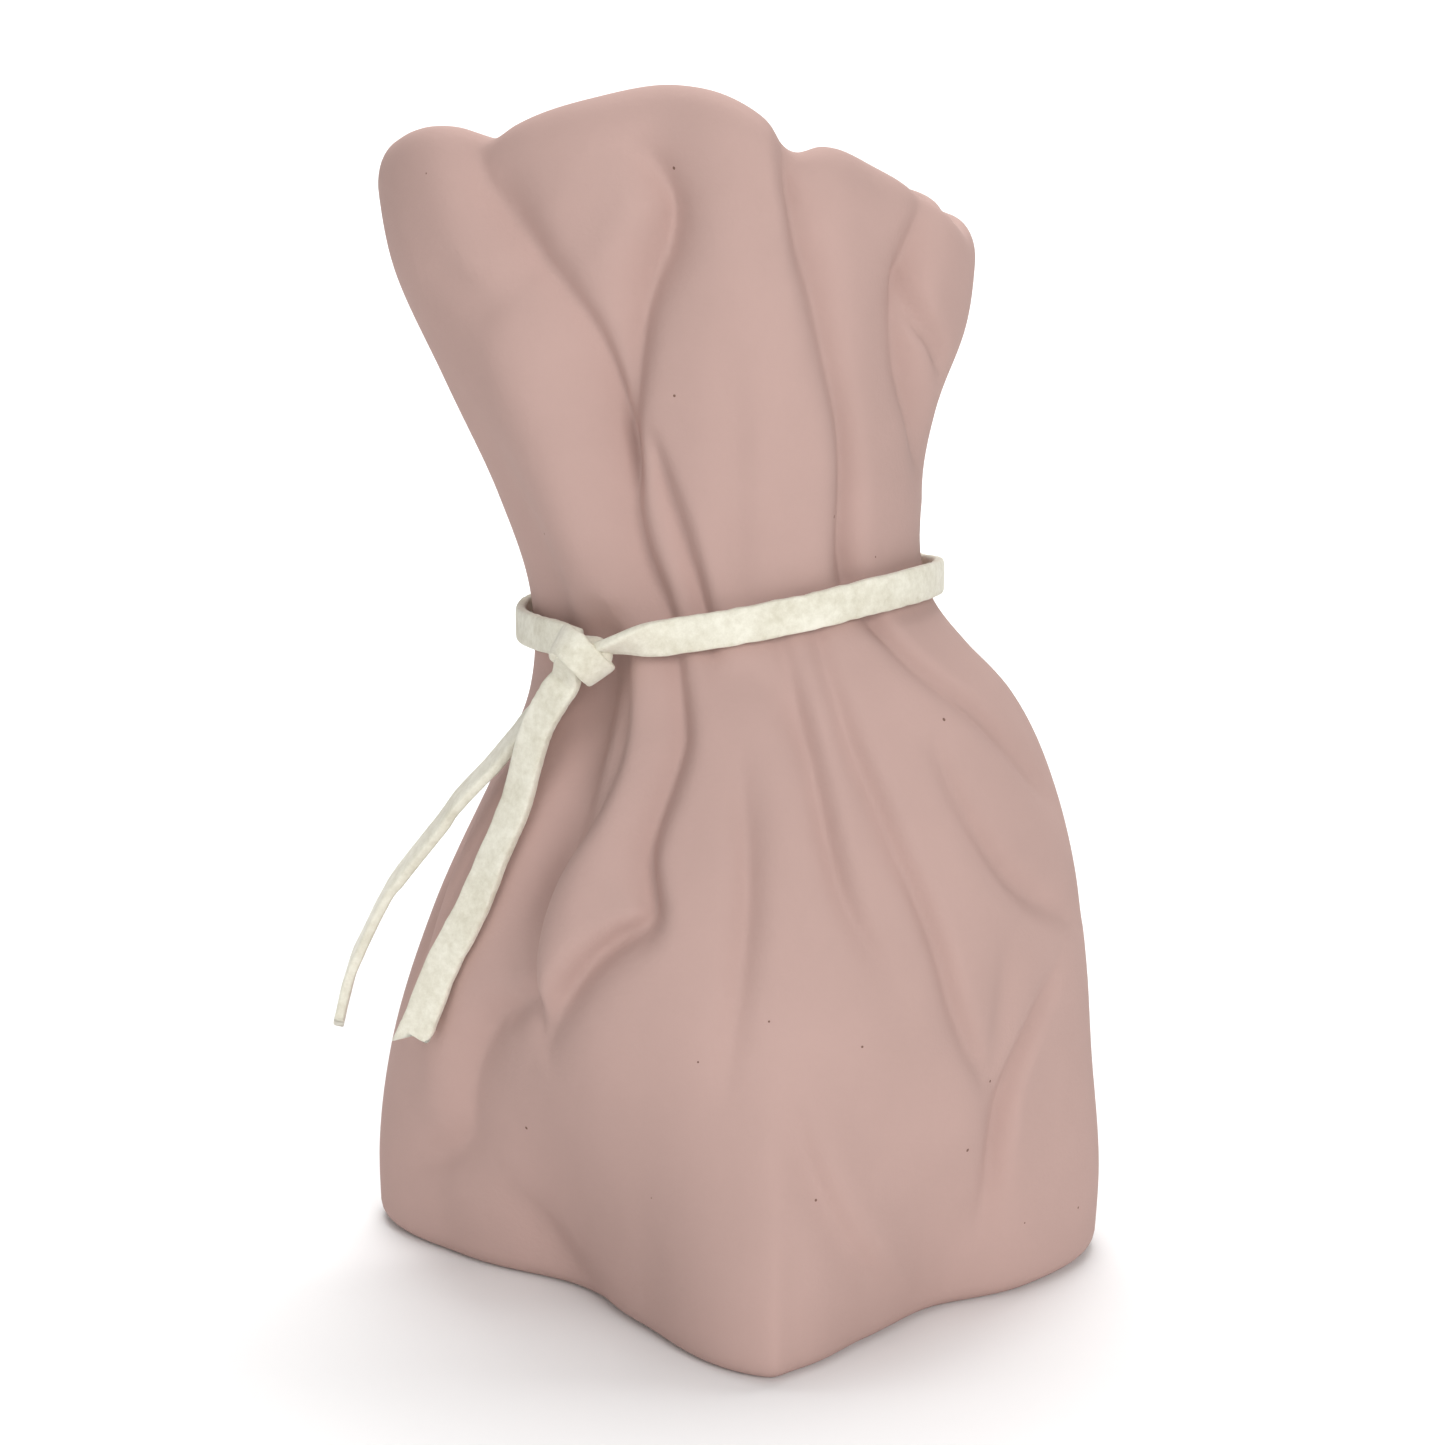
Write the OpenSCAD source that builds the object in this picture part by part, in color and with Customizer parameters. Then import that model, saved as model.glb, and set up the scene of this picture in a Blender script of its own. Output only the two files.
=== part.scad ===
// Vase cast in the shape of a gathered cloth sack, tied round the waist with a flat suede lace.
// Lengths are in millimetres and angles in degrees. A bearing is an angle about the Z axis,
// 0 towards the front (-Y) and positive towards the right (+X).

/* [Vessel] */
// Height of the rim above the foot, without the rim's own waves
vessel_h = 160; // [130:1:190]
// Height of the waist, where the sack is gathered
waist_h = 97; // [85:1:110]
// Mean radius at the foot
foot_r = 47; // [42:0.5:55]
// Mean radius of the belly
belly_r = 48; // [44:0.5:55]
// Mean radius of the waist
waist_r = 29; // [26:0.5:34]
// Mean radius of the mouth
mouth_r = 38; // [34:0.5:44]
// Thickness of the wall, measured towards the axis
wall_t = 5; // [4.5:0.5:7]
// Thickness of the floor
floor_t = 5; // [4:0.5:8]
// Rounding round the outside of the foot
foot_round = 3; // [1:0.5:4]
// Rounding where the wall meets the floor inside
floor_round = 7; // [3:0.5:9]
// Width of the rounding on the outside of the lip
lip_w = 3.5; // [2:0.5:4]
// Height of the rounding on the outside of the lip
lip_h = 6; // [3:0.5:8]

/* [Lace] */
// Width of the flat lace
lace_w = 5; // [4:0.5:6]
// Thickness of the flat lace
lace_t = 1.6; // [1.2:0.1:2]
// Height of the lace's relief over the gathered waist
lace_stand = 1.3; // [1.2:0.1:2]
// Bearing of the knot
knot_bearing = -35.5; // [-40:0.5:-30]
// How far the knot hangs below the waist
knot_drop = 6; // [4:0.5:8]
// Slope of the slanting cut at the ends of the lace
cut_slope = 1; // [0:0.1:1.2]

/* [Hidden] */

columns = 84;      // points round each ring of the vessel
front_columns = 54; // of them over the front half
finest = 2.6;      // narrowest side of a fold that these rings can hold
shoulder = 0.25;   // share of a fold that swells up on both sides of it
crease_r = 0.8;    // rounding in the bottom of a crease
reach = 15;        // how far from its line a fold is felt
table_waist = 97;  // the tables below are laid out for a waist at this height
table_top = 160;   // and for a rim at this height
rim_from = 105;    // the rim's waves start to lift the wall from here

// Bearings of the sections in plan
PLAN = [-180, -150, -120, -95, -70, -42, -16, 6, 24, 42, 60, 80, 105, 140];

// Sections: height, mean radius, and what each bearing of PLAN adds to the mean radius
SECTIONS = [
    [0, foot_r, [4, -2, -3, 6.5, -5, -13.5, -6.5, 7, .5, -2.5, 4, 9.5, 2, -5]],
    [12, foot_r, [4, -2, -3, 6.5, -4, -12, -5, 7, 1.5, -1, 5, 10, 2.5, -4]],
    [30, belly_r, [1, -2, -3, 2.5, -2, -8, -3, 3.5, 2, 2, 4, 7.5, 2, -2]],
    [50, mix(waist_r, belly_r, .9), [0, -2, -3, -2.5, -3.5, -4.5, -.5, 2, 3, 4, 5, 7.5, 3, -1]],
    [70, mix(waist_r, belly_r, .58), [-1, -3, -5, -5.5, -5.5, -4.5, -1, 1, 3, 5, 7, 9, 4, 0]],
    [84, mix(waist_r, belly_r, .26), [-1, -3, -5, -5.5, -5.5, -5, -2, 0, 2, 4.5, 7, 8.5, 4, 0]],
    [97, waist_r, [-1, -1, -1, -1, -1, -1.5, -1.5, -1.5, -.5, .5, 1.5, 2, 1, 0]],
    [112, mix(waist_r, mouth_r, .11), [0, 0, 1, 2, 3, 2, -1, 1, .5, -.5, -.5, -1, -1, -.5]],
    [128, mix(waist_r, mouth_r, .45), [0, 0, 2, 5.5, 7.5, 4, -1, 1, -.5, -3, -2.5, -2.5, -2, -1]],
    [144, mix(waist_r, mouth_r, .78), [0, 0, 3, 10, 10.5, 3, -2, .5, -2.5, -4.5, -2, -1, -2, -2]],
    [160, mouth_r, [0, 0, 4, 11.5, 10, 2, -2, .5, -3, -5.5, -3, -1.5, -3, -2]],
];

// Waves of the rim: bearing, and height above the mean rim
RIM = [
    [-180, -2], [-140, 1], [-95, -1], [-76, 1], [-58, 1], [-51, -.7], [-45, .8], [-30, 3.3], [-10, 4.6],
    [2, 2.6], [9, 0], [15, -3.2], [24, -2.5], [40, -3.8], [52, -5.8], [64, -8.5], [76, -10.5], [90, -8],
    [115, -3], [145, 0],
];

// The lace round the waist: bearing, and height of its middle above the waist
LACE = [
    [-180, 1], [-120, -2], [-90, -3.5], [-70, -4], [-50, -4.6], [-38, -5.5], [-20, -3.8], [0, -2.2],
    [20, -.3], [40, 1.6], [60, 2.8], [80, 3.2], [110, 3.2], [145, 2.4],
];

// Folds are strokes along the wall. Each point of a stroke gives its bearing, its height, how far it
// stands out (negative: how deep it is), and its width to either side. A stroke fades out at its ends.

// Creases have a sharp line at the bottom
CREASES = [
    // Left valley, from the notch in the rim
    [[-54, 165, 0, 4, 6], [-53, 159, -2, 4, 7], [-51.5, 155, -3.5, 4, 8], [-48, 150, -4.5, 4.5, 8],
     [-44, 145.5, -4.5, 5, 7], [-40, 141, -4, 6, 5], [-35, 136.5, -3.5, 7, 3.5], [-31, 132, -3.5, 7, 3],
     [-28.5, 127, -3.5, 7, 2.2], [-27, 122, -3, 7, 1.8], [-25.5, 117, -2, 6, 1.6], [-25, 112, 0, 5, 2]],
    // Tuck of the front panel, through the waist and round the puff below it
    [[-27, 153.5, 0, 4, 3], [-20, 152.5, -1, 4, 3], [-15, 150.5, -2.2, 4, 3.5],
     [-12, 148, -3.2, 3.5, 4.5], [-11, 145.5, -3.6, 3.5, 5], [-12.5, 141.5, -3.6, 4, 4.5],
     [-16, 138, -3.6, 5, 4], [-19, 134, -3.4, 5, 3.5], [-21, 129, -3.2, 5, 3],
     [-22.5, 125, -2.8, 5, 2.5], [-24.5, 120, -2.6, 4, 2.2], [-25.5, 114, -2.6, 4, 2.2],
     [-25.5, 109.5, -2.6, 4, 2.2], [-24, 105.5, -2.6, 4.5, 2.2], [-21, 101.5, -2.6, 5, 2],
     [-17.5, 98, -2.4, 5, 2], [-14.5, 94, -2.4, 5, 2], [-12, 89, -2.8, 5, 2], [-10, 84, -3.4, 5.5, 2],
     [-9, 80, -3.6, 5.5, 1.9], [-10.5, 75.5, -3.6, 5.5, 1.9], [-13, 70, -3.6, 5, 1.9],
     [-14, 66, -3.8, 4.5, 1.9], [-13, 62, -4, 4.5, 2], [-12, 59, -4, 4, 2], [-13.5, 56.8, -4, 3, 2.5],
     [-18, 55, -4, 2.5, 3.5], [-23, 52, -3.6, 2.5, 4], [-27, 48.5, -3.2, 2.5, 4.5],
     [-30.5, 44.5, -2.6, 3, 4.5], [-33.5, 40, -1.6, 3, 4.5], [-36, 35, 0, 4, 5]],
    // Short tuck beside the front lobe
    [[-20, 121, 0, 2, 1.5], [-18, 118, -1.2, 3, 1.5], [-15.5, 114, -2.2, 3.5, 1.5],
     [-12.5, 109.5, -2.6, 4, 1.6], [-9.5, 104.5, -2.8, 4, 1.6], [-7, 100, -2.8, 4, 1.6],
     [-5, 96, -2.4, 4, 1.8], [-3, 92, -1.4, 4, 2], [-2, 87, 0, 3, 3]],
    // Right edge of the front lobe, then across the right hip
    [[12.5, 165, 0, 2, 6], [13, 159, -2.6, 2, 7], [13.5, 155, -4, 2, 8], [15, 151.5, -4, 2.2, 8],
     [17, 147.5, -3.6, 2.4, 6], [20, 142.5, -3.2, 2.5, 5], [23.5, 136, -3, 2.8, 4.5],
     [27, 130, -3, 3, 4], [30.5, 125, -3, 3, 3.5], [33, 120.5, -3, 3, 3], [34.5, 115, -3, 3, 3],
     [35, 109, -3, 3, 3], [36.5, 104, -3, 3, 3], [38.5, 100, -2.6, 3, 3], [42, 97, -2.6, 3, 2.5],
     [46, 93, -2.8, 3, 2], [50, 88.5, -2.8, 3.5, 2], [55, 84.5, -2.8, 3.5, 2.5],
     [60, 81, -2.6, 3.5, 2.5], [65, 76.5, -2.2, 4, 3], [70, 71.5, -1.6, 4, 3.5], [77, 66, 0, 4, 4]],
    // Right valley, from the rim to the right side
    [[57, 164, 0, 4, 4], [56, 158, -1.6, 4, 4], [54.5, 154.5, -2.8, 4, 4],
     [52.5, 150.5, -3.4, 4.5, 3.5], [50.5, 146, -3.8, 5, 3.5], [50, 142, -3.6, 5, 4],
     [51.5, 137.5, -3.4, 5, 4.5], [54.5, 133, -3.2, 5, 5], [59, 129, -3, 5, 5], [64, 125.5, -2.6, 5, 5],
     [69, 121, -1.6, 6, 6], [74, 116, 0, 6, 6]],
    // Crease under the right ear of the rim
    [[51, 149, 0, 2, 2], [52, 146, -1.2, 2, 1.6], [54, 142.5, -2, 2, 1.6], [57.5, 140, -2.2, 1.8, 2],
     [62, 138.5, -2.2, 2, 2.5], [67, 136.5, -1.6, 2.5, 3], [74, 134, 0, 3, 3]],
    // Left edge of the puff
    [[-30, 94, 0, 3, 2], [-28.5, 89, -1.4, 4, 1.6], [-26, 84.5, -2.4, 4, 1.5],
     [-24.5, 79.5, -2.6, 4, 1.5], [-25, 75, -2.6, 4, 1.5], [-27.5, 70.5, -2.6, 4, 1.6],
     [-32, 66.5, -2.8, 4, 1.8], [-36.5, 62.5, -3, 4, 2], [-39, 58, -3, 4, 2], [-38.5, 53, -2.8, 4, 2],
     [-37.5, 48, -2.6, 4, 2], [-37, 43, -1.8, 4, 2], [-36.5, 37, 0, 4, 3]],
    // Crease that ends in the left foot corner
    [[-35, 47, 0, 3, 5], [-39, 45, -2, 4, 6], [-43, 43, -3, 4, 7], [-47, 41.5, -3.6, 4.5, 8],
     [-51, 40, -3.8, 5, 9], [-54.5, 37, -3.8, 5, 10], [-57.5, 33, -3.6, 5, 11],
     [-59.5, 29, -3.4, 5, 11], [-61, 25, -3.2, 5, 10], [-63, 21.5, -3.2, 4.5, 9],
     [-66.5, 18.5, -3, 4, 7], [-71, 16, -2.2, 4, 5], [-77, 13.5, -1.1, 4, 4], [-84, 11, 0, 4, 4]],
    // Groove down the middle of the belly
    [[3.5, 82, 0, 3, 3], [4, 76, -.9, 3.5, 3], [4.5, 70, -1.8, 3.5, 3], [4.5, 64, -2.2, 3.5, 2.5],
     [4, 58, -2.2, 4, 2.5], [3, 52, -1.9, 4, 2.5], [2, 46, -1.5, 4, 3], [1, 40, -.8, 4, 3],
     [0, 33, 0, 4, 4]],
    // Ridge of the front foot corner
    [[7, 42, 0, 6, 3], [7, 30, .7, 6, 4], [7, 18, 1.1, 6, 3], [7, 8, 1.3, 6, 3], [7, 0, 1.2, 6, 3],
     [7, -5, 0, 6, 3]],
    // Dip beside the front foot corner
    [[10, 42, 0, 4, 3], [11, 34, -.5, 4, 2.5], [13, 26, -.9, 4, 2.5], [16, 20, -1, 5, 2.5],
     [20, 14, -.8, 5, 2.5], [25, 9, -.4, 5, 3], [30, 4, 0, 4, 3]],
    // Gather right of the middle
    [[14, 98, 0, 4, 2], [16, 93, -1.2, 4, 2], [17, 87, -2, 4.5, 1.8], [18, 80, -2.6, 4.5, 1.7],
     [18.5, 74, -2.7, 4, 1.7], [19, 68, -2.7, 3.5, 1.7], [20, 62, -2.4, 3.5, 1.8],
     [22, 57, -1.8, 3.5, 2], [24.5, 52, -.9, 3, 2.5], [27, 47, 0, 3, 3]],
    // Long gather right of the middle
    [[24, 100, 0, 3, 2], [25.5, 94, -1.2, 3, 2], [26, 87, -1.7, 3.5, 1.8], [27, 80, -2.3, 4, 1.8],
     [29, 73, -2.5, 4, 1.8], [31, 66, -2.5, 4, 1.8], [33.5, 60, -2.5, 3.5, 1.8],
     [36, 53, -2.4, 3.5, 1.8], [38, 46, -2.2, 3.5, 1.8], [40.5, 40.5, -1.9, 3.5, 2],
     [43.5, 36, -1.3, 3, 2.5], [46.5, 32, 0, 3, 3]],
    // Gather on the right hip
    [[43, 81, 0, 3, 3], [44.5, 77, -1.2, 3.5, 2.5], [46.5, 71, -2, 4, 2.5], [49.5, 65.5, -2.4, 4, 3],
     [53.5, 61, -2.5, 4, 3.5], [58.5, 57.5, -2.4, 4, 4], [65, 54.5, -2, 4, 4],
     [72, 51.5, -1.2, 4.5, 4.5], [80, 48, 0, 5, 5]],
    // Crease that ends in the right foot corner
    [[69, 49, 0, 3, 3], [64, 45, -1.1, 3.5, 2], [59, 41, -2, 4, 1.8], [55, 37, -2.6, 4.5, 1.6],
     [52, 33, -3, 5, 1.5], [50.5, 29, -3, 5, 1.5], [50, 23.5, -2.8, 4.5, 1.6], [50, 18.5, -2.1, 4, 1.8],
     [49.5, 14, -1.2, 4, 2.5], [49.5, 8, 0, 4, 3]],
    // Right back gather
    [[98, 166, 0, 5, 5], [98, 158, -2.5, 5, 5], [96, 146, -3, 5, 5], [95, 132, -2.6, 5, 4],
     [97, 118, -2.4, 4, 3], [99, 106, -2.4, 4, 3], [100, 96, -2.4, 4, 3], [102, 84, -2.6, 4, 3],
     [106, 72, -2.4, 4, 3], [112, 58, -1.8, 4, 4], [118, 44, 0, 4, 4]],
    // Second right back gather
    [[132, 166, 0, 4, 6], [130, 156, -3, 4, 6], [128, 144, -3.4, 4, 6], [130, 130, -3, 4, 4],
     [128, 116, -2.6, 3, 4], [125, 104, -2.6, 3, 3], [124, 92, -2.4, 3, 3], [122, 80, -2, 3, 3],
     [124, 66, -1.4, 3, 4], [128, 52, 0, 4, 4]],
    // Back gather, right of the middle
    [[160, 166, 0, 5, 5], [162, 158, -2, 5, 5], [158, 146, -3.2, 6, 4], [154, 132, -3, 5, 3],
     [152, 118, -2.6, 4, 3], [154, 104, -2.6, 3, 3], [156, 92, -2.6, 3, 3], [158, 78, -2.8, 3, 4],
     [156, 64, -2.4, 3, 5], [148, 52, -2, 3, 6], [144, 38, -1, 4, 6], [142, 26, 0, 5, 5]],
    // Back gather, left of the middle
    [[-172, 166, 0, 5, 5], [-170, 156, -2.4, 5, 5], [-168, 142, -3, 5, 5], [-172, 128, -3, 5, 4],
     [-176, 114, -2.6, 4, 3], [-178, 100, -2.6, 3, 3], [-176, 86, -2.6, 3, 3], [-170, 72, -2.6, 4, 3],
     [-164, 58, -2, 4, 3], [-162, 42, -1.2, 4, 4], [-162, 26, 0, 4, 4]],
    // Second left back gather
    [[-136, 166, 0, 5, 5], [-138, 158, -2.6, 5, 5], [-142, 146, -3.2, 5, 4], [-146, 132, -3, 5, 3],
     [-148, 118, -2.6, 4, 3], [-146, 104, -2.6, 3, 3], [-142, 92, -2.6, 3, 3], [-138, 78, -3, 3, 4],
     [-136, 64, -2.6, 3, 5], [-138, 50, -1.6, 4, 5], [-140, 36, 0, 5, 5]],
    // Left back gather
    [[-106, 166, 0, 5, 5], [-106, 156, -2.2, 5, 5], [-108, 144, -3, 5, 5], [-112, 130, -3, 5, 4],
     [-116, 116, -2.6, 4, 3], [-118, 102, -2.6, 3, 3], [-116, 88, -2.8, 3, 3], [-112, 76, -3, 4, 4],
     [-106, 62, -2.6, 4, 4], [-102, 48, -1.6, 4, 4], [-98, 36, 0, 4, 4]],
    // Tuck on the left side
    [[-86, 92, 0, 4, 4], [-88, 82, -1.6, 4, 4], [-90, 72, -2.2, 4, 4], [-86, 60, -2, 4, 4],
     [-82, 48, -1.4, 4, 4], [-80, 36, 0, 4, 4]],
    // Groove down the back of the belly
    [[172, 62, 0, 4, 4], [174, 50, -1.4, 5, 4], [178, 36, -1.6, 6, 5], [182, 22, -1, 6, 6],
     [184, 8, 0, 6, 6]],
    // Tuck on the right side
    [[84, 112, 0, 4, 4], [82, 100, -1, 4, 4], [84, 88, -1.4, 4, 4], [88, 76, -1.6, 4, 4],
     [94, 64, -1.2, 4, 4], [100, 52, 0, 4, 4]],
];

// Swells and hollows are rounded
SWELLS = [
    // Swell of the front panel
    [[-36, 156, 0, 7, 7], [-28, 150.5, 1, 8, 8], [-20, 147, 1.6, 7, 6], [-23, 141, 1.2, 6, 5],
     [-27, 136.5, 0, 5, 5]],
    // Wide hollow of the left valley
    [[-36, 147, 0, 8, 8], [-32, 137, -1.5, 8, 8], [-30, 126, -2.6, 8, 7], [-29, 116, -2.6, 7, 6],
     [-27, 106, -2.2, 6.5, 6], [-23, 98, -1.8, 6, 6], [-20, 91, 0, 6, 6]],
    // Faint groove down the front lobe
    [[2, 136, 0, 4, 4], [2.5, 128, -.7, 4, 3.5], [3, 120, -1, 4, 3], [3.5, 110, -1, 4, 3],
     [4, 101, -.8, 4, 3], [4, 93, 0, 4, 3]],
    // Dent across the front lobe
    [[-9, 149, 0, 5, 5], [-3, 147.5, -.8, 6, 5], [4, 147.5, -1, 6, 5], [10, 148.5, -.8, 6, 5],
     [14, 150, 0, 5, 5]],
    // Dent across the left lobe
    [[-66, 141.5, 0, 4, 4], [-59, 140.5, -.9, 5, 4], [-52, 139, -1.4, 5, 4], [-47, 138.5, -1, 4, 4],
     [-42, 139, 0, 4, 4]],
    // Ridge of the left lobe
    [[-52, 138, 0, 5, 5], [-48, 132, .9, 6, 5], [-45, 122, 1.3, 6, 6], [-43, 112, 1.3, 6, 6],
     [-40, 102, 1, 6, 6], [-38, 94, 0, 6, 6]],
    // Hollow of the left flank
    [[-74, 131, 0, 5, 5], [-66, 122, -.8, 6, 5], [-61, 112, -1.3, 6, 5], [-58, 104, -1.5, 6, 4],
     [-56, 97, -1.5, 6, 4], [-55, 90, -1, 6, 4], [-55, 83, 0, 6, 4]],
    // Deep hollow under the knot
    [[-34, 98, 0, 6, 5], [-36, 91, -3.5, 7, 5], [-37, 84, -6, 8, 5.5], [-36, 77, -6.5, 8, 5],
     [-36, 71, -6.5, 8, 5], [-39, 65, -6, 7, 5], [-42, 58, -5, 7, 5], [-45, 51, -3, 7, 5],
     [-48, 45, -1.2, 6, 5], [-50, 40, 0, 6, 5]],
    // Puff left of the middle
    [[-22, 77, 0, 4, 4], [-22.5, 70, .8, 4, 4], [-26, 65, 1.6, 5, 5], [-28, 60, 2, 6, 5],
     [-30, 54, 1.8, 5, 5], [-33, 48, 1.2, 4, 4], [-34, 42, 0, 4, 4]],
    // Dip along the left of the foot
    [[-58, 15, 0, 4, 3], [-50, 11, -1, 5, 3], [-45, 7.5, -1.6, 5, 4], [-38, 4.5, -1.6, 4, 4],
     [-30, 2, -1.2, 4, 4], [-22, -1, 0, 4, 4]],
    // Swell right of the front foot corner
    [[9, 44, 0, 3, 4], [11.5, 38, .6, 3, 5], [14, 32, 1, 3, 5], [17.5, 26, 1.2, 3, 5],
     [21, 20, 1.2, 3, 5], [25.5, 14.5, 1, 3, 5], [30, 10, .7, 3, 5], [36, 5, 0, 3, 5]],
    // Pucker under the lace
    [[-2, 89, 0, 4, 3], [6, 88.5, -.7, 4, 3], [12, 86.5, -1, 4, 3], [16, 82, -.8, 3.5, 3],
     [18, 77, 0, 3, 3]],
    // Hollow between the right gathers
    [[50.5, 55, 0, 3, 3], [49.5, 48, -.9, 3, 3], [48, 42, -1.2, 3.5, 3], [47, 36, -1.2, 4, 3],
     [47, 30, -.7, 4, 3], [47, 24, 0, 4, 3]],
];

// Free ends of the lace: steps from the knot's middle in X, Y and Z, and the bearing each faces
FRONT_TAIL = [
    [-2.7, .2, -3.5, -35], [-3.9, .3, -5.1, -35], [-5.2, .8, -7.2, -36], [-6.6, 1.6, -9.8, -36],
    [-7.8, 2.2, -13, -35], [-10, 2.4, -21, -37], [-13, 2, -28, -40], [-15.5, 1.8, -34, -34],
    [-18, 2.2, -39, -28], [-20.7, 3.6, -44, -24], [-24, 5, -52, -19], [-25.4, 5.5, -55, -18],
];
SIDE_TAIL = [
    [-3.4, 4.1, -3, -76], [-4.5, 5.1, -5, -79], [-6, 6, -7.4, -82], [-9, 7, -10.6, -84],
    [-11.5, 7.9, -13.8, -84], [-14.5, 8.9, -17.2, -84], [-19, 10, -22, -84], [-21.7, 10.8, -25.7, -84],
    [-28, 12.5, -33.5, -84], [-30.6, 13, -37.5, -84], [-33.4, 13.5, -43, -84], [-35.6, 14, -48, -84],
    [-37.5, 13.5, -55.5, -84],
];

// --- Small helpers ---

function mix(a, b, t) = a + (b - a) * t;
function clamp(x, low = 0, high = 1) = min(max(x, low), high);
function sum(list) = len(list) == 0 ? 0 : list * [for (x = list) 1];
function turned(a) = a > 180 ? a - 360 : a < -180 ? a + 360 : a;
function unit(v) = v / norm(v);
function quarter(t) = 1 - sqrt(max(1 - t * t, 0)); // drop of a quarter circle at share t of its run

// Place of the stretch of the rising list x that holds q
function stretch(x, q, i = 0) = i >= len(x) - 2 || q < x[i + 1] ? i : stretch(x, q, i + 1);

// Slope at point i of a curve through the lists x and y
function slope(x, y, i) =
    i == 0 ? (y[1] - y[0]) / (x[1] - x[0]) :
    i == len(x) - 1 ? (y[i] - y[i - 1]) / (x[i] - x[i - 1]) :
    let (before = x[i] - x[i - 1], after = x[i + 1] - x[i])
    ((y[i] - y[i - 1]) / before * after + (y[i + 1] - y[i]) / after * before) / (before + after);

// Smooth curve through the lists x and y, level beyond its ends
function curve(x, y, q) =
    let (
        at = clamp(q, x[0], x[len(x) - 1]),
        i = stretch(x, at),
        run = x[i + 1] - x[i],
        t = (at - x[i]) / run
    )
    (2 * t * t * t - 3 * t * t + 1) * y[i] + (t * t * t - 2 * t * t + t) * run * slope(x, y, i)
        + (3 * t * t - 2 * t * t * t) * y[i + 1] + (t * t * t - t * t) * run * slope(x, y, i + 1);

// The same curve closed into a ring of bearings
function round_x(x) = let (n = len(x)) [x[n - 2] - 360, x[n - 1] - 360, each x, x[0] + 360, x[1] + 360];
function round_y(y) = let (n = len(y)) [y[n - 2], y[n - 1], each y, y[0], y[1]];
function ring_curve(x, y, a) = curve(round_x(x), round_y(y), turned(a));
function column(table, k) = [for (row = table) row[k]];

// --- The vessel's surface ---

// Real height of a height in the tables
function lifted(h) = h <= table_waist ? h * waist_h / table_waist :
    waist_h + (h - table_waist) * (vessel_h - waist_h) / (table_top - table_waist);

function rim_share(h) =
    let (t = clamp((h - rim_from) / (table_top - rim_from))) (t * t * (3 - 2 * t) + t) / 2;

// Smooth radius at one bearing, for each section, and then at any height
function section_radii(a) = [for (s = SECTIONS) s[1] + ring_curve(PLAN, s[2], a)];
function body_r(radii, h) = curve(column(SECTIONS, 0), radii, h);

// Stretches of the strokes that are near a height, each as its two end points
function near_height(strokes, h) = [
    for (s = strokes) [
        for (i = [0:len(s) - 2])
            if (min(s[i][1], s[i + 1][1]) < h + reach && max(s[i][1], s[i + 1][1]) > h - reach)
                [s[i], s[i + 1]]
    ]
];

// Squared distance from a stretch, its rise there and its width on this side; mm_deg is one degree in mm
function touch(p, q, a, h, mm_deg) =
    let (
        dx = (q[0] - p[0]) * mm_deg,
        dy = q[1] - p[1],
        ax = turned(a - p[0]) * mm_deg,
        ay = h - p[1],
        t = clamp((ax * dx + ay * dy) / (dx * dx + dy * dy)),
        ex = ax - t * dx,
        ey = ay - t * dy,
        side = dx * ay - dy * ax > 0 ? 4 : 3
    )
    [ex * ex + ey * ey, mix(p[2], q[2], t), mix(p[side], q[side], t)];

function swell_form(d2, width) = exp(-d2 / (width * width));
function crease_form(d2, width) =
    let (u = 1.15 * (sqrt(d2 + crease_r * crease_r) - crease_r) / width) exp(-u - u * u / 2);

// What one stroke adds to the radius, from its nearest stretch
function relief(stretches, a, h, mm_deg, sharp) =
    let (
        hits = [
            for (s = stretches)
                if (abs(turned(a - s[0][0])) * mm_deg < 2 * reach) touch(s[0], s[1], a, h, mm_deg)
        ]
    )
    len(hits) == 0 ? 0 :
    let (
        least = min(column(hits, 0)),
        hit = [for (x = hits) if (x[0] == least) x][0],
        width = max(hit[2], finest),
        form = sharp ? crease_form(hit[0], width) : swell_form(hit[0], width)
    )
    hit[1] * (form - shoulder * exp(-hit[0] / (5 * width * width)));

// Radii of the whole outline at one height
function outline(h, plans) =
    let (creases = near_height(CREASES, h), swells = near_height(SWELLS, h))
    [
        for (j = [0:columns - 1])
            let (a = bearing(j), r = body_r(plans[j], h), mm_deg = r * PI / 180)
            r + sum([for (s = creases) relief(s, a, h, mm_deg, true)])
              + sum([for (s = swells) relief(s, a, h, mm_deg, false)])
    ];

// The columns stand closer together over the front half
function bearing(j) =
    j < front_columns
        ? -90 + j * 180 / front_columns
        : 90 + (j - front_columns) * 180 / (columns - front_columns);
function polar(r, a, z) = [r * sin(a), -r * cos(a), z];

// One ring of points: the outline's radii less an inset, at a height of the tables
function ring(radii, inset, h) = [
    for (j = [0:columns - 1])
        polar(
            radii[j] - inset,
            bearing(j),
            lifted(h) + rim_share(h) * ring_curve(column(RIM, 0), column(RIM, 1), bearing(j))
        )
];

lip = min(lip_w, wall_t - 0.8);
function lip_inset(h) = lip * quarter(clamp((h - table_top + lip_h) / lip_h));
function foot_inset(h) = foot_round * quarter(clamp((foot_round - h) / foot_round));
function floor_inset(h) = floor_round * quarter(clamp((floor_t + floor_round - h) / floor_round));

// --- Sweeps ---

// Faces of a tube of rings of n points each, with flat ends, or closed on itself
function tube_faces(rings, n, closed = false) = [
    for (i = [0:rings - (closed ? 1 : 2)], k = [0:n - 1])
        let (a = i * n, b = (i + 1) % rings * n, m = (k + 1) % n)
        each [[a + k, b + k, a + m], [a + m, b + k, b + m]],
    if (!closed) [for (k = [0:n - 1]) k],
    if (!closed) [for (k = [n - 1:-1:0]) (rings - 1) * n + k]
];

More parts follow.
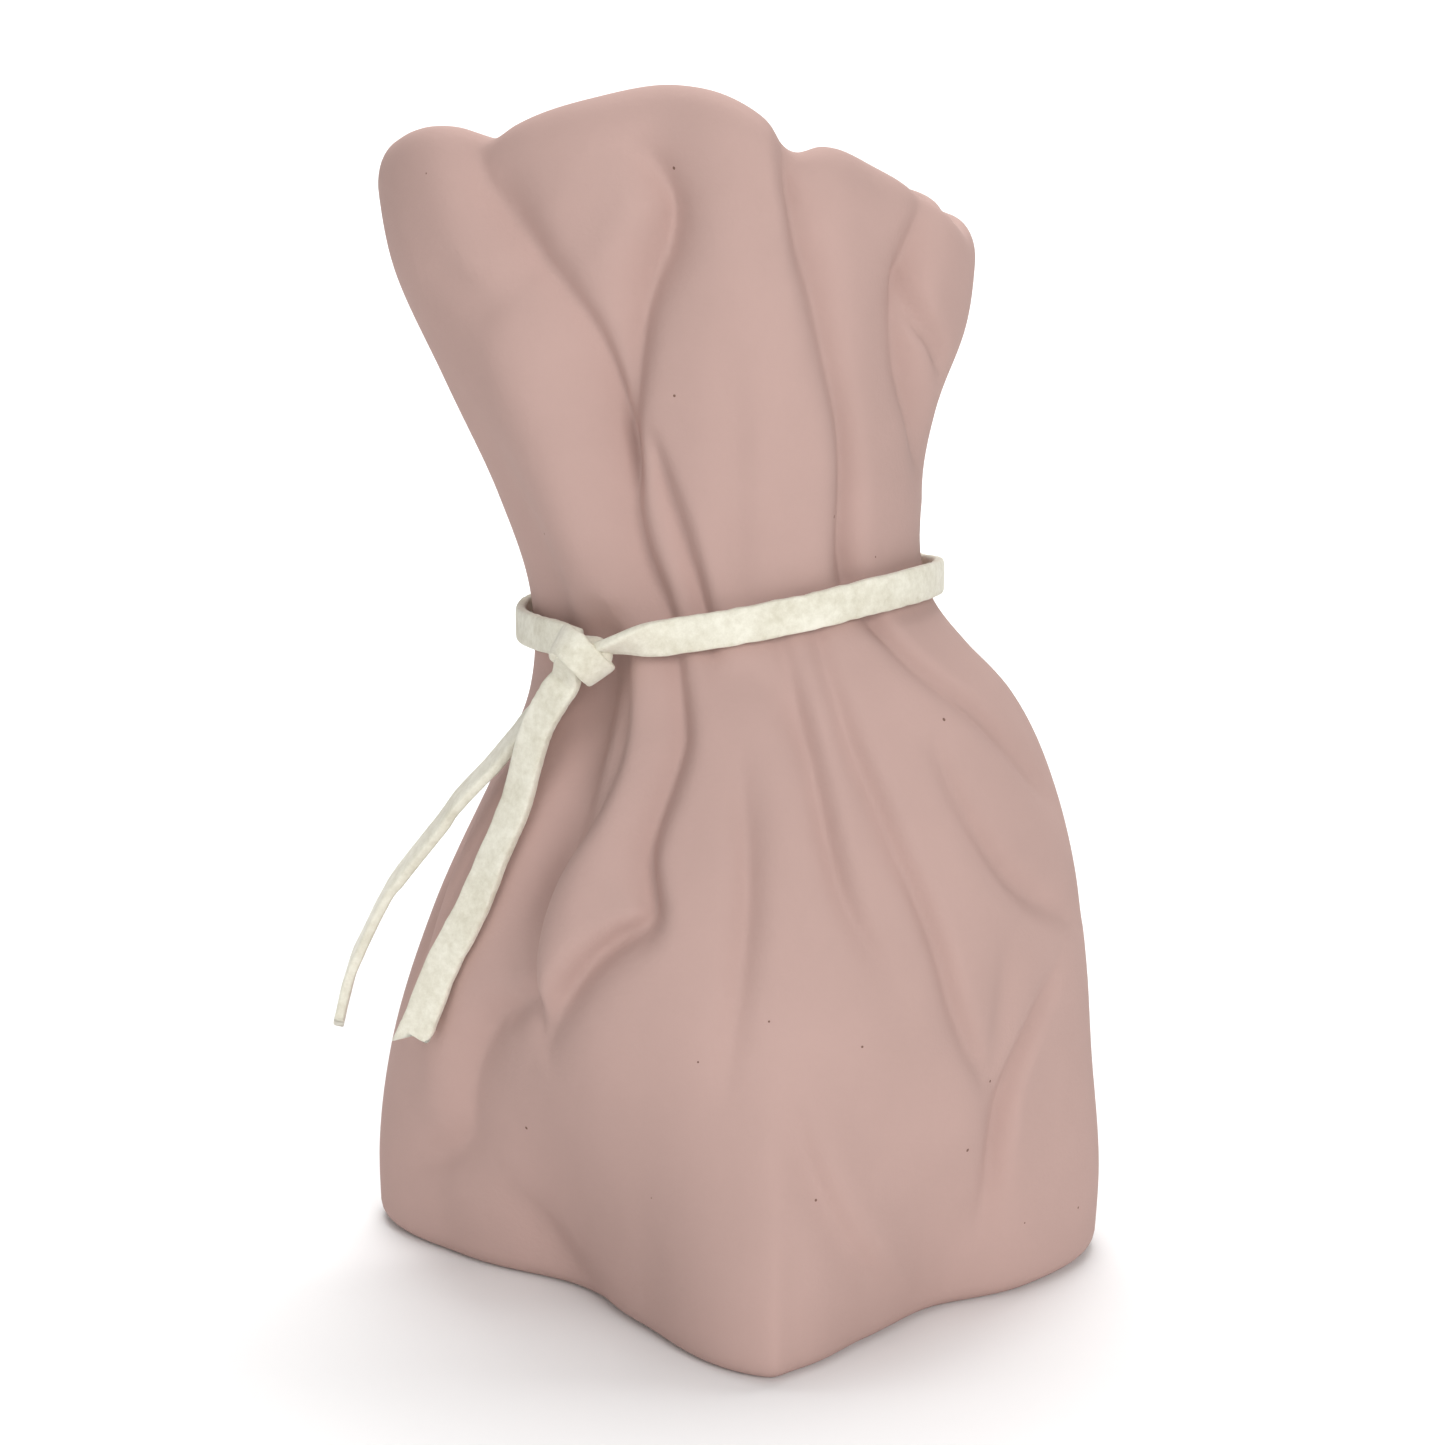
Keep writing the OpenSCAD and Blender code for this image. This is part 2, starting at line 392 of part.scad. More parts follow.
// Corners of a flat lace's section, as steps along its width and its thickness
function lace_corners(w, t) =
    let (x = w / 2, y = t / 2, c = t / 4)
    [[x, y - c], [x - c, y], [c - x, y], [-x, y - c], [-x, c - y], [c - x, -y], [x - c, -y], [x, c - y]];

// A point between b and c of a smooth route through a, b, c and d
function step(a, b, c, d, t) =
    b + t / 2 * (c - a + t * (2 * a - 5 * b + 4 * c - d + t * (3 * b - a - 3 * c + d)));

// Smooth route through the points, with a given number of steps a stretch
function route(points, steps) =
    let (n = len(points), p = [2 * points[0] - points[1], each points, 2 * points[n - 1] - points[n - 2]])
    [
        for (i = [1:n - 1], k = [0:steps - 1])
            step(p[i - 1], p[i], p[i + 1], p[i + 2], k / steps),
        points[n - 1]
    ];

knot_at = polar(waist_r + lace_stand + lace_t + 0.1, knot_bearing, waist_h - knot_drop);

// --- The pieces ---

module vessel() {
    plans = [for (j = [0:columns - 1]) section_radii(bearing(j))];
    outer_heights = [0, 0.4, 1.2, 3, 7, each [11:4.2:table_top - 9],
        for (down = [6, 3.5, 1.6, 0.5, 0]) table_top - down
    ];
    inner_heights = [
        table_top - 3, table_top - 10, each [table_top - 17:-9:floor_t + floor_round + 2],
        floor_t + floor_round / 2, floor_t + floor_round / 9, floor_t
    ];
    foot = outline(0, plans);
    brim = outline(table_top, plans);
    rings = [
        ring(foot, foot_round + 2, -1),
        for (h = outer_heights) ring(outline(h, plans), foot_inset(h) + lip_inset(h), h),
        ring(brim, wall_t - 0.2, table_top - 0.8),
        for (h = inner_heights) ring(outline(h, plans), wall_t + floor_inset(h), h)
    ];
    count = len(rings);
    points = [for (r = rings) each r, [0, 0, lifted(-1)], [0, 0, lifted(floor_t)]];
    faces = [
        for (i = [0:count - 2], j = [0:columns - 1])
            let (a = i * columns, b = a + columns, m = (j + 1) % columns)
            each [[a + j, b + j, a + m], [a + m, b + j, b + m]],
        for (j = [0:columns - 1]) [j, (j + 1) % columns, count * columns],
        for (j = [0:columns - 1])
            let (a = (count - 1) * columns) [a + (j + 1) % columns, a + j, count * columns + 1]
    ];
    wide = 4 * max(foot_r, belly_r);
    color("rosybrown")
    difference() {
        polyhedron(points, faces);
        // The foot is cut flat
        translate([-wide / 2, -wide / 2, -10]) cube([wide, wide, 10]);
    }
}

// The lace where the waist holds it, from one side of the knot round the back to the other.
// It leaves the knot on edge and turns flat.
module lace_band() {
    first = knot_bearing + 6;
    last = knot_bearing + 352;
    steps = 66;
    on_edge = 82;
    turn_run = 22;
    rings = [
        for (i = [0:steps])
            let (
                along = mix(first, last, i / steps),
                a = turned(along),
                rise = ring_curve(column(LACE, 0), column(LACE, 1), a),
                t = clamp((along - first) / turn_run),
                twist = on_edge * (1 - t * t * (3 - 2 * t)),
                out = [sin(a), -cos(a), 0],
                up = [0, 0, 1],
                middle = body_r(section_radii(a), table_waist + rise) + lace_stand
                    + lace_t / 2 * cos(twist) + lace_w / 2 * sin(twist),
                across = up * cos(twist) + out * sin(twist),
                outward = out * cos(twist) - up * sin(twist)
            )
            [
                for (c = lace_corners(lace_w, lace_t))
                    middle * out + (waist_h + rise) * up + c[0] * across + c[1] * outward
            ]
    ];
    color("ivory") polyhedron([for (r = rings) each r], tube_faces(len(rings), 8));
}

// A rod with round ends, along Z
module capsule(length, r) {
    run = length - 2 * r;
    rotate_extrude($fn = 32)
        intersection() {
            union() {
                square([2 * r, run], center = true);
                for (y = [-run / 2, run / 2]) translate([0, y]) circle(r);
            }
            translate([0, -length / 2]) square([r, length]);
        }
}

// The knot: a rounded core with one flat turn wrapped across it
module lace_knot() {
    side = [cos(knot_bearing), sin(knot_bearing), 0];
    out = [sin(knot_bearing), -cos(knot_bearing), 0];
    up = [0, 0, 1];
    // Half the wrap's loop, across the knot and outwards
    half_w = 2.4 * lace_t;
    half_d = 1.5 * lace_t;
    lean = 18;
    across = side * cos(lean) - up * sin(lean);
    upward = side * sin(lean) + up * cos(lean);
    turns = 24;
    rings = [
        for (i = [0:turns - 1])
            let (
                s = -i * 360 / turns,
                middle = knot_at + across * half_w * cos(s) + out * half_d * sin(s),
                outward = unit(across * cos(s) / half_w + out * sin(s) / half_d)
            )
            [for (c = lace_corners(0.86 * lace_w, lace_t)) middle + c[0] * upward + c[1] * outward]
    ];
    color("ivory")
    union() {
        translate(knot_at) rotate([0, 90, knot_bearing]) capsule(1.7 * lace_w, 1.8 * lace_t);
        polyhedron([for (r = rings) each r], tube_faces(turns, 8, true));
    }
}

// A free end of the lace, with its tip cut on a slant
module tail(rows, cut) {
    path = route(rows, 3);
    count = len(path);
    rings = [
        for (i = [0:count - 1])
            let (
                here = [path[i][0], path[i][1], path[i][2]],
                before = path[max(i - 1, 0)],
                after = path[min(i + 1, count - 1)],
                along = unit([for (k = [0:2]) after[k] - before[k]]),
                faced = [sin(path[i][3]), -cos(path[i][3]), 0],
                across = unit(cross(faced, along)),
                outward = cross(along, across)
            )
            [
                for (c = lace_corners(lace_w, lace_t))
                    knot_at + here + c[0] * across + c[1] * outward
                        - (i == count - 1 ? cut * c[0] * along : [0, 0, 0])
            ]
    ];
    color("ivory") polyhedron([for (r = rings) each r], tube_faces(count, 8));
}

module lace_tail_front() {
    tail(FRONT_TAIL, cut_slope);
}

module lace_tail_side() {
    tail(SIDE_TAIL, cut_slope / 2);
}

vessel();
lace_band();
lace_knot();
lace_tail_front();
lace_tail_side();
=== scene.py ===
"""A cast vessel shaped like a gathered cloth sack, tied at the waist with a knotted suede lace."""
import math

import bpy
import numpy as np
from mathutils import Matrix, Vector


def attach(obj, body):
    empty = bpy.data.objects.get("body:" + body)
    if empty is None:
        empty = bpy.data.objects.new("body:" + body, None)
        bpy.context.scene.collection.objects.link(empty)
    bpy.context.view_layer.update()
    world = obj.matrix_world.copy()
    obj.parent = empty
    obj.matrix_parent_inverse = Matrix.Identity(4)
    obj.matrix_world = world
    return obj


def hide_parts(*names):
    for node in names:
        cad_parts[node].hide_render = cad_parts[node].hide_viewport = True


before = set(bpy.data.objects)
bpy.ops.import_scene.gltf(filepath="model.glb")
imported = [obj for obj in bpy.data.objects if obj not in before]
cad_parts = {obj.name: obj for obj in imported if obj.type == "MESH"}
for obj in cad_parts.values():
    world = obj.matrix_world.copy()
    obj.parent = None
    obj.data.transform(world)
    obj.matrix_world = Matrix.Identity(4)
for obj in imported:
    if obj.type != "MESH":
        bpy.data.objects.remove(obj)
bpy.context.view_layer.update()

MM = 0.001
SEED = 7

# --- Sizes, in millimetres, as in the part's source ---

VESSEL_H, WAIST_H = 160, 97
FOOT_R, BELLY_R, WAIST_R, MOUTH_R = 47, 48, 29, 38
WALL, FLOOR = 5, 5
FOOT_ROUND, FLOOR_ROUND = 3, 7
LIP_W, LIP_H = 3.5, 6
LACE_W, LACE_T, LACE_STAND = 5, 1.6, 1.3
KNOT_BEARING, KNOT_DROP = -35.5, 6
RIM_FROM = 105
SHOULDER = 0.25  # share of a fold that swells up on both sides of it
CREASE_R = 0.8  # rounding in the bottom of a crease


def mix(a, b, t):
    return a + (b - a) * t


# Bearings of the sections in plan
PLAN = [-180, -150, -120, -95, -70, -42, -16, 6, 24, 42, 60, 80, 105, 140]

# Sections: height, mean radius, and what each bearing of PLAN adds to the mean radius
SECTIONS = [
    [0, FOOT_R, [4, -2, -3, 6.5, -5, -13.5, -6.5, 7, .5, -2.5, 4, 9.5, 2, -5]],
    [12, FOOT_R, [4, -2, -3, 6.5, -4, -12, -5, 7, 1.5, -1, 5, 10, 2.5, -4]],
    [30, BELLY_R, [1, -2, -3, 2.5, -2, -8, -3, 3.5, 2, 2, 4, 7.5, 2, -2]],
    [50, mix(WAIST_R, BELLY_R, .9), [0, -2, -3, -2.5, -3.5, -4.5, -.5, 2, 3, 4, 5, 7.5, 3, -1]],
    [70, mix(WAIST_R, BELLY_R, .58), [-1, -3, -5, -5.5, -5.5, -4.5, -1, 1, 3, 5, 7, 9, 4, 0]],
    [84, mix(WAIST_R, BELLY_R, .26), [-1, -3, -5, -5.5, -5.5, -5, -2, 0, 2, 4.5, 7, 8.5, 4, 0]],
    [97, WAIST_R, [-1, -1, -1, -1, -1, -1.5, -1.5, -1.5, -.5, .5, 1.5, 2, 1, 0]],
    [112, mix(WAIST_R, MOUTH_R, .11), [0, 0, 1, 2, 3, 2, -1, 1, .5, -.5, -.5, -1, -1, -.5]],
    [128, mix(WAIST_R, MOUTH_R, .45), [0, 0, 2, 5.5, 7.5, 4, -1, 1, -.5, -3, -2.5, -2.5, -2, -1]],
    [144, mix(WAIST_R, MOUTH_R, .78), [0, 0, 3, 10, 10.5, 3, -2, .5, -2.5, -4.5, -2, -1, -2, -2]],
    [160, MOUTH_R, [0, 0, 4, 11.5, 10, 2, -2, .5, -3, -5.5, -3, -1.5, -3, -2]],
]

# Waves of the rim: bearing, and height above the mean rim
RIM = [
    [-180, -2], [-140, 1], [-95, -1], [-76, 1], [-58, 1], [-51, -.7], [-45, .8], [-30, 3.3], [-10, 4.6],
    [2, 2.6], [9, 0], [15, -3.2], [24, -2.5], [40, -3.8], [52, -5.8], [64, -8.5], [76, -10.5], [90, -8],
    [115, -3], [145, 0],
]

# The lace round the waist: bearing, and height of its middle above the waist
LACE = [
    [-180, 1], [-120, -2], [-90, -3.5], [-70, -4], [-50, -4.6], [-38, -5.5], [-20, -3.8], [0, -2.2],
    [20, -.3], [40, 1.6], [60, 2.8], [80, 3.2], [110, 3.2], [145, 2.4],
]

# Folds are strokes along the wall. Each point of a stroke gives its bearing, its height, how far it
# stands out (negative: how deep it is), and its width to either side. A stroke fades out at its ends.

# Creases have a sharp line at the bottom
CREASES = [
    # Left valley, from the notch in the rim
    [[-54, 165, 0, 4, 6], [-53, 159, -2, 4, 7], [-51.5, 155, -3.5, 4, 8], [-48, 150, -4.5, 4.5, 8],
     [-44, 145.5, -4.5, 5, 7], [-40, 141, -4, 6, 5], [-35, 136.5, -3.5, 7, 3.5], [-31, 132, -3.5, 7, 3],
     [-28.5, 127, -3.5, 7, 2.2], [-27, 122, -3, 7, 1.8], [-25.5, 117, -2, 6, 1.6], [-25, 112, 0, 5, 2]],
    # Tuck of the front panel, through the waist and round the puff below it
    [[-27, 153.5, 0, 4, 3], [-20, 152.5, -1, 4, 3], [-15, 150.5, -2.2, 4, 3.5],
     [-12, 148, -3.2, 3.5, 4.5], [-11, 145.5, -3.6, 3.5, 5], [-12.5, 141.5, -3.6, 4, 4.5],
     [-16, 138, -3.6, 5, 4], [-19, 134, -3.4, 5, 3.5], [-21, 129, -3.2, 5, 3],
     [-22.5, 125, -2.8, 5, 2.5], [-24.5, 120, -2.6, 4, 2.2], [-25.5, 114, -2.6, 4, 2.2],
     [-25.5, 109.5, -2.6, 4, 2.2], [-24, 105.5, -2.6, 4.5, 2.2], [-21, 101.5, -2.6, 5, 2],
     [-17.5, 98, -2.4, 5, 2], [-14.5, 94, -2.4, 5, 2], [-12, 89, -2.8, 5, 2], [-10, 84, -3.4, 5.5, 2],
     [-9, 80, -3.6, 5.5, 1.9], [-10.5, 75.5, -3.6, 5.5, 1.9], [-13, 70, -3.6, 5, 1.9],
     [-14, 66, -3.8, 4.5, 1.9], [-13, 62, -4, 4.5, 2], [-12, 59, -4, 4, 2], [-13.5, 56.8, -4, 3, 2.5],
     [-18, 55, -4, 2.5, 3.5], [-23, 52, -3.6, 2.5, 4], [-27, 48.5, -3.2, 2.5, 4.5],
     [-30.5, 44.5, -2.6, 3, 4.5], [-33.5, 40, -1.6, 3, 4.5], [-36, 35, 0, 4, 5]],
    # Short tuck beside the front lobe
    [[-20, 121, 0, 2, 1.5], [-18, 118, -1.2, 3, 1.5], [-15.5, 114, -2.2, 3.5, 1.5],
     [-12.5, 109.5, -2.6, 4, 1.6], [-9.5, 104.5, -2.8, 4, 1.6], [-7, 100, -2.8, 4, 1.6],
     [-5, 96, -2.4, 4, 1.8], [-3, 92, -1.4, 4, 2], [-2, 87, 0, 3, 3]],
    # Right edge of the front lobe, then across the right hip
    [[12.5, 165, 0, 2, 6], [13, 159, -2.6, 2, 7], [13.5, 155, -4, 2, 8], [15, 151.5, -4, 2.2, 8],
     [17, 147.5, -3.6, 2.4, 6], [20, 142.5, -3.2, 2.5, 5], [23.5, 136, -3, 2.8, 4.5],
     [27, 130, -3, 3, 4], [30.5, 125, -3, 3, 3.5], [33, 120.5, -3, 3, 3], [34.5, 115, -3, 3, 3],
     [35, 109, -3, 3, 3], [36.5, 104, -3, 3, 3], [38.5, 100, -2.6, 3, 3], [42, 97, -2.6, 3, 2.5],
     [46, 93, -2.8, 3, 2], [50, 88.5, -2.8, 3.5, 2], [55, 84.5, -2.8, 3.5, 2.5],
     [60, 81, -2.6, 3.5, 2.5], [65, 76.5, -2.2, 4, 3], [70, 71.5, -1.6, 4, 3.5], [77, 66, 0, 4, 4]],
    # Right valley, from the rim to the right side
    [[57, 164, 0, 4, 4], [56, 158, -1.6, 4, 4], [54.5, 154.5, -2.8, 4, 4],
     [52.5, 150.5, -3.4, 4.5, 3.5], [50.5, 146, -3.8, 5, 3.5], [50, 142, -3.6, 5, 4],
     [51.5, 137.5, -3.4, 5, 4.5], [54.5, 133, -3.2, 5, 5], [59, 129, -3, 5, 5], [64, 125.5, -2.6, 5, 5],
     [69, 121, -1.6, 6, 6], [74, 116, 0, 6, 6]],
    # Crease under the right ear of the rim
    [[51, 149, 0, 2, 2], [52, 146, -1.2, 2, 1.6], [54, 142.5, -2, 2, 1.6], [57.5, 140, -2.2, 1.8, 2],
     [62, 138.5, -2.2, 2, 2.5], [67, 136.5, -1.6, 2.5, 3], [74, 134, 0, 3, 3]],
    # Left edge of the puff
    [[-30, 94, 0, 3, 2], [-28.5, 89, -1.4, 4, 1.6], [-26, 84.5, -2.4, 4, 1.5],
     [-24.5, 79.5, -2.6, 4, 1.5], [-25, 75, -2.6, 4, 1.5], [-27.5, 70.5, -2.6, 4, 1.6],
     [-32, 66.5, -2.8, 4, 1.8], [-36.5, 62.5, -3, 4, 2], [-39, 58, -3, 4, 2], [-38.5, 53, -2.8, 4, 2],
     [-37.5, 48, -2.6, 4, 2], [-37, 43, -1.8, 4, 2], [-36.5, 37, 0, 4, 3]],
    # Crease that ends in the left foot corner
    [[-35, 47, 0, 3, 5], [-39, 45, -2, 4, 6], [-43, 43, -3, 4, 7], [-47, 41.5, -3.6, 4.5, 8],
     [-51, 40, -3.8, 5, 9], [-54.5, 37, -3.8, 5, 10], [-57.5, 33, -3.6, 5, 11],
     [-59.5, 29, -3.4, 5, 11], [-61, 25, -3.2, 5, 10], [-63, 21.5, -3.2, 4.5, 9],
     [-66.5, 18.5, -3, 4, 7], [-71, 16, -2.2, 4, 5], [-77, 13.5, -1.1, 4, 4], [-84, 11, 0, 4, 4]],
    # Groove down the middle of the belly
    [[3.5, 82, 0, 3, 3], [4, 76, -.9, 3.5, 3], [4.5, 70, -1.8, 3.5, 3], [4.5, 64, -2.2, 3.5, 2.5],
     [4, 58, -2.2, 4, 2.5], [3, 52, -1.9, 4, 2.5], [2, 46, -1.5, 4, 3], [1, 40, -.8, 4, 3],
     [0, 33, 0, 4, 4]],
    # Ridge of the front foot corner
    [[7, 42, 0, 6, 3], [7, 30, .7, 6, 4], [7, 18, 1.1, 6, 3], [7, 8, 1.3, 6, 3], [7, 0, 1.2, 6, 3],
     [7, -5, 0, 6, 3]],
    # Dip beside the front foot corner
    [[10, 42, 0, 4, 3], [11, 34, -.5, 4, 2.5], [13, 26, -.9, 4, 2.5], [16, 20, -1, 5, 2.5],
     [20, 14, -.8, 5, 2.5], [25, 9, -.4, 5, 3], [30, 4, 0, 4, 3]],
    # Gather right of the middle
    [[14, 98, 0, 4, 2], [16, 93, -1.2, 4, 2], [17, 87, -2, 4.5, 1.8], [18, 80, -2.6, 4.5, 1.7],
     [18.5, 74, -2.7, 4, 1.7], [19, 68, -2.7, 3.5, 1.7], [20, 62, -2.4, 3.5, 1.8],
     [22, 57, -1.8, 3.5, 2], [24.5, 52, -.9, 3, 2.5], [27, 47, 0, 3, 3]],
    # Long gather right of the middle
    [[24, 100, 0, 3, 2], [25.5, 94, -1.2, 3, 2], [26, 87, -1.7, 3.5, 1.8], [27, 80, -2.3, 4, 1.8],
     [29, 73, -2.5, 4, 1.8], [31, 66, -2.5, 4, 1.8], [33.5, 60, -2.5, 3.5, 1.8],
     [36, 53, -2.4, 3.5, 1.8], [38, 46, -2.2, 3.5, 1.8], [40.5, 40.5, -1.9, 3.5, 2],
     [43.5, 36, -1.3, 3, 2.5], [46.5, 32, 0, 3, 3]],
    # Gather on the right hip
    [[43, 81, 0, 3, 3], [44.5, 77, -1.2, 3.5, 2.5], [46.5, 71, -2, 4, 2.5], [49.5, 65.5, -2.4, 4, 3],
     [53.5, 61, -2.5, 4, 3.5], [58.5, 57.5, -2.4, 4, 4], [65, 54.5, -2, 4, 4],
     [72, 51.5, -1.2, 4.5, 4.5], [80, 48, 0, 5, 5]],
    # Crease that ends in the right foot corner
    [[69, 49, 0, 3, 3], [64, 45, -1.1, 3.5, 2], [59, 41, -2, 4, 1.8], [55, 37, -2.6, 4.5, 1.6],
     [52, 33, -3, 5, 1.5], [50.5, 29, -3, 5, 1.5], [50, 23.5, -2.8, 4.5, 1.6], [50, 18.5, -2.1, 4, 1.8],
     [49.5, 14, -1.2, 4, 2.5], [49.5, 8, 0, 4, 3]],
    # Right back gather
    [[98, 166, 0, 5, 5], [98, 158, -2.5, 5, 5], [96, 146, -3, 5, 5], [95, 132, -2.6, 5, 4],
     [97, 118, -2.4, 4, 3], [99, 106, -2.4, 4, 3], [100, 96, -2.4, 4, 3], [102, 84, -2.6, 4, 3],
     [106, 72, -2.4, 4, 3], [112, 58, -1.8, 4, 4], [118, 44, 0, 4, 4]],
    # Second right back gather
    [[132, 166, 0, 4, 6], [130, 156, -3, 4, 6], [128, 144, -3.4, 4, 6], [130, 130, -3, 4, 4],
     [128, 116, -2.6, 3, 4], [125, 104, -2.6, 3, 3], [124, 92, -2.4, 3, 3], [122, 80, -2, 3, 3],
     [124, 66, -1.4, 3, 4], [128, 52, 0, 4, 4]],
    # Back gather, right of the middle
    [[160, 166, 0, 5, 5], [162, 158, -2, 5, 5], [158, 146, -3.2, 6, 4], [154, 132, -3, 5, 3],
     [152, 118, -2.6, 4, 3], [154, 104, -2.6, 3, 3], [156, 92, -2.6, 3, 3], [158, 78, -2.8, 3, 4],
     [156, 64, -2.4, 3, 5], [148, 52, -2, 3, 6], [144, 38, -1, 4, 6], [142, 26, 0, 5, 5]],
    # Back gather, left of the middle
    [[-172, 166, 0, 5, 5], [-170, 156, -2.4, 5, 5], [-168, 142, -3, 5, 5], [-172, 128, -3, 5, 4],
     [-176, 114, -2.6, 4, 3], [-178, 100, -2.6, 3, 3], [-176, 86, -2.6, 3, 3], [-170, 72, -2.6, 4, 3],
     [-164, 58, -2, 4, 3], [-162, 42, -1.2, 4, 4], [-162, 26, 0, 4, 4]],
    # Second left back gather
    [[-136, 166, 0, 5, 5], [-138, 158, -2.6, 5, 5], [-142, 146, -3.2, 5, 4], [-146, 132, -3, 5, 3],
     [-148, 118, -2.6, 4, 3], [-146, 104, -2.6, 3, 3], [-142, 92, -2.6, 3, 3], [-138, 78, -3, 3, 4],
     [-136, 64, -2.6, 3, 5], [-138, 50, -1.6, 4, 5], [-140, 36, 0, 5, 5]],
    # Left back gather
    [[-106, 166, 0, 5, 5], [-106, 156, -2.2, 5, 5], [-108, 144, -3, 5, 5], [-112, 130, -3, 5, 4],
     [-116, 116, -2.6, 4, 3], [-118, 102, -2.6, 3, 3], [-116, 88, -2.8, 3, 3], [-112, 76, -3, 4, 4],
     [-106, 62, -2.6, 4, 4], [-102, 48, -1.6, 4, 4], [-98, 36, 0, 4, 4]],
    # Tuck on the left side
    [[-86, 92, 0, 4, 4], [-88, 82, -1.6, 4, 4], [-90, 72, -2.2, 4, 4], [-86, 60, -2, 4, 4],
     [-82, 48, -1.4, 4, 4], [-80, 36, 0, 4, 4]],
    # Groove down the back of the belly
    [[172, 62, 0, 4, 4], [174, 50, -1.4, 5, 4], [178, 36, -1.6, 6, 5], [182, 22, -1, 6, 6],
     [184, 8, 0, 6, 6]],
    # Tuck on the right side
    [[84, 112, 0, 4, 4], [82, 100, -1, 4, 4], [84, 88, -1.4, 4, 4], [88, 76, -1.6, 4, 4],
     [94, 64, -1.2, 4, 4], [100, 52, 0, 4, 4]],
]

# Swells and hollows are rounded
SWELLS = [
    # Swell of the front panel
    [[-36, 156, 0, 7, 7], [-28, 150.5, 1, 8, 8], [-20, 147, 1.6, 7, 6], [-23, 141, 1.2, 6, 5],
     [-27, 136.5, 0, 5, 5]],
    # Wide hollow of the left valley
    [[-36, 147, 0, 8, 8], [-32, 137, -1.5, 8, 8], [-30, 126, -2.6, 8, 7], [-29, 116, -2.6, 7, 6],
     [-27, 106, -2.2, 6.5, 6], [-23, 98, -1.8, 6, 6], [-20, 91, 0, 6, 6]],
    # Faint groove down the front lobe
    [[2, 136, 0, 4, 4], [2.5, 128, -.7, 4, 3.5], [3, 120, -1, 4, 3], [3.5, 110, -1, 4, 3],
     [4, 101, -.8, 4, 3], [4, 93, 0, 4, 3]],
    # Dent across the front lobe
    [[-9, 149, 0, 5, 5], [-3, 147.5, -.8, 6, 5], [4, 147.5, -1, 6, 5], [10, 148.5, -.8, 6, 5],
     [14, 150, 0, 5, 5]],
    # Dent across the left lobe
    [[-66, 141.5, 0, 4, 4], [-59, 140.5, -.9, 5, 4], [-52, 139, -1.4, 5, 4], [-47, 138.5, -1, 4, 4],
     [-42, 139, 0, 4, 4]],
    # Ridge of the left lobe
    [[-52, 138, 0, 5, 5], [-48, 132, .9, 6, 5], [-45, 122, 1.3, 6, 6], [-43, 112, 1.3, 6, 6],
     [-40, 102, 1, 6, 6], [-38, 94, 0, 6, 6]],
    # Hollow of the left flank
    [[-74, 131, 0, 5, 5], [-66, 122, -.8, 6, 5], [-61, 112, -1.3, 6, 5], [-58, 104, -1.5, 6, 4],
     [-56, 97, -1.5, 6, 4], [-55, 90, -1, 6, 4], [-55, 83, 0, 6, 4]],
    # Deep hollow under the knot
    [[-34, 98, 0, 6, 5], [-36, 91, -3.5, 7, 5], [-37, 84, -6, 8, 5.5], [-36, 77, -6.5, 8, 5],
     [-36, 71, -6.5, 8, 5], [-39, 65, -6, 7, 5], [-42, 58, -5, 7, 5], [-45, 51, -3, 7, 5],
     [-48, 45, -1.2, 6, 5], [-50, 40, 0, 6, 5]],
    # Puff left of the middle
    [[-22, 77, 0, 4, 4], [-22.5, 70, .8, 4, 4], [-26, 65, 1.6, 5, 5], [-28, 60, 2, 6, 5],
     [-30, 54, 1.8, 5, 5], [-33, 48, 1.2, 4, 4], [-34, 42, 0, 4, 4]],
    # Dip along the left of the foot
    [[-58, 15, 0, 4, 3], [-50, 11, -1, 5, 3], [-45, 7.5, -1.6, 5, 4], [-38, 4.5, -1.6, 4, 4],
     [-30, 2, -1.2, 4, 4], [-22, -1, 0, 4, 4]],
    # Swell right of the front foot corner
    [[9, 44, 0, 3, 4], [11.5, 38, .6, 3, 5], [14, 32, 1, 3, 5], [17.5, 26, 1.2, 3, 5],
     [21, 20, 1.2, 3, 5], [25.5, 14.5, 1, 3, 5], [30, 10, .7, 3, 5], [36, 5, 0, 3, 5]],
    # Pucker under the lace
    [[-2, 89, 0, 4, 3], [6, 88.5, -.7, 4, 3], [12, 86.5, -1, 4, 3], [16, 82, -.8, 3.5, 3],
     [18, 77, 0, 3, 3]],
    # Hollow between the right gathers
    [[50.5, 55, 0, 3, 3], [49.5, 48, -.9, 3, 3], [48, 42, -1.2, 3.5, 3], [47, 36, -1.2, 4, 3],
     [47, 30, -.7, 4, 3], [47, 24, 0, 4, 3]],
]

# Free ends of the lace: steps from the knot's middle in X, Y and Z, and the bearing each faces
FRONT_TAIL = [
    [-2.7, .2, -3.5, -35], [-3.9, .3, -5.1, -35], [-5.2, .8, -7.2, -36], [-6.6, 1.6, -9.8, -36],
    [-7.8, 2.2, -13, -35], [-10, 2.4, -21, -37], [-13, 2, -28, -40], [-15.5, 1.8, -34, -34],
    [-18, 2.2, -39, -28], [-20.7, 3.6, -44, -24], [-24, 5, -52, -19], [-25.4, 5.5, -55, -18],
]
SIDE_TAIL = [
    [-3.4, 4.1, -3, -76], [-4.5, 5.1, -5, -79], [-6, 6, -7.4, -82], [-9, 7, -10.6, -84],
    [-11.5, 7.9, -13.8, -84], [-14.5, 8.9, -17.2, -84], [-19, 10, -22, -84], [-21.7, 10.8, -25.7, -84],
    [-28, 12.5, -33.5, -84], [-30.6, 13, -37.5, -84], [-33.4, 13.5, -43, -84], [-35.6, 14, -48, -84],
    [-37.5, 13.5, -55.5, -84],
]

# --- Curves ---


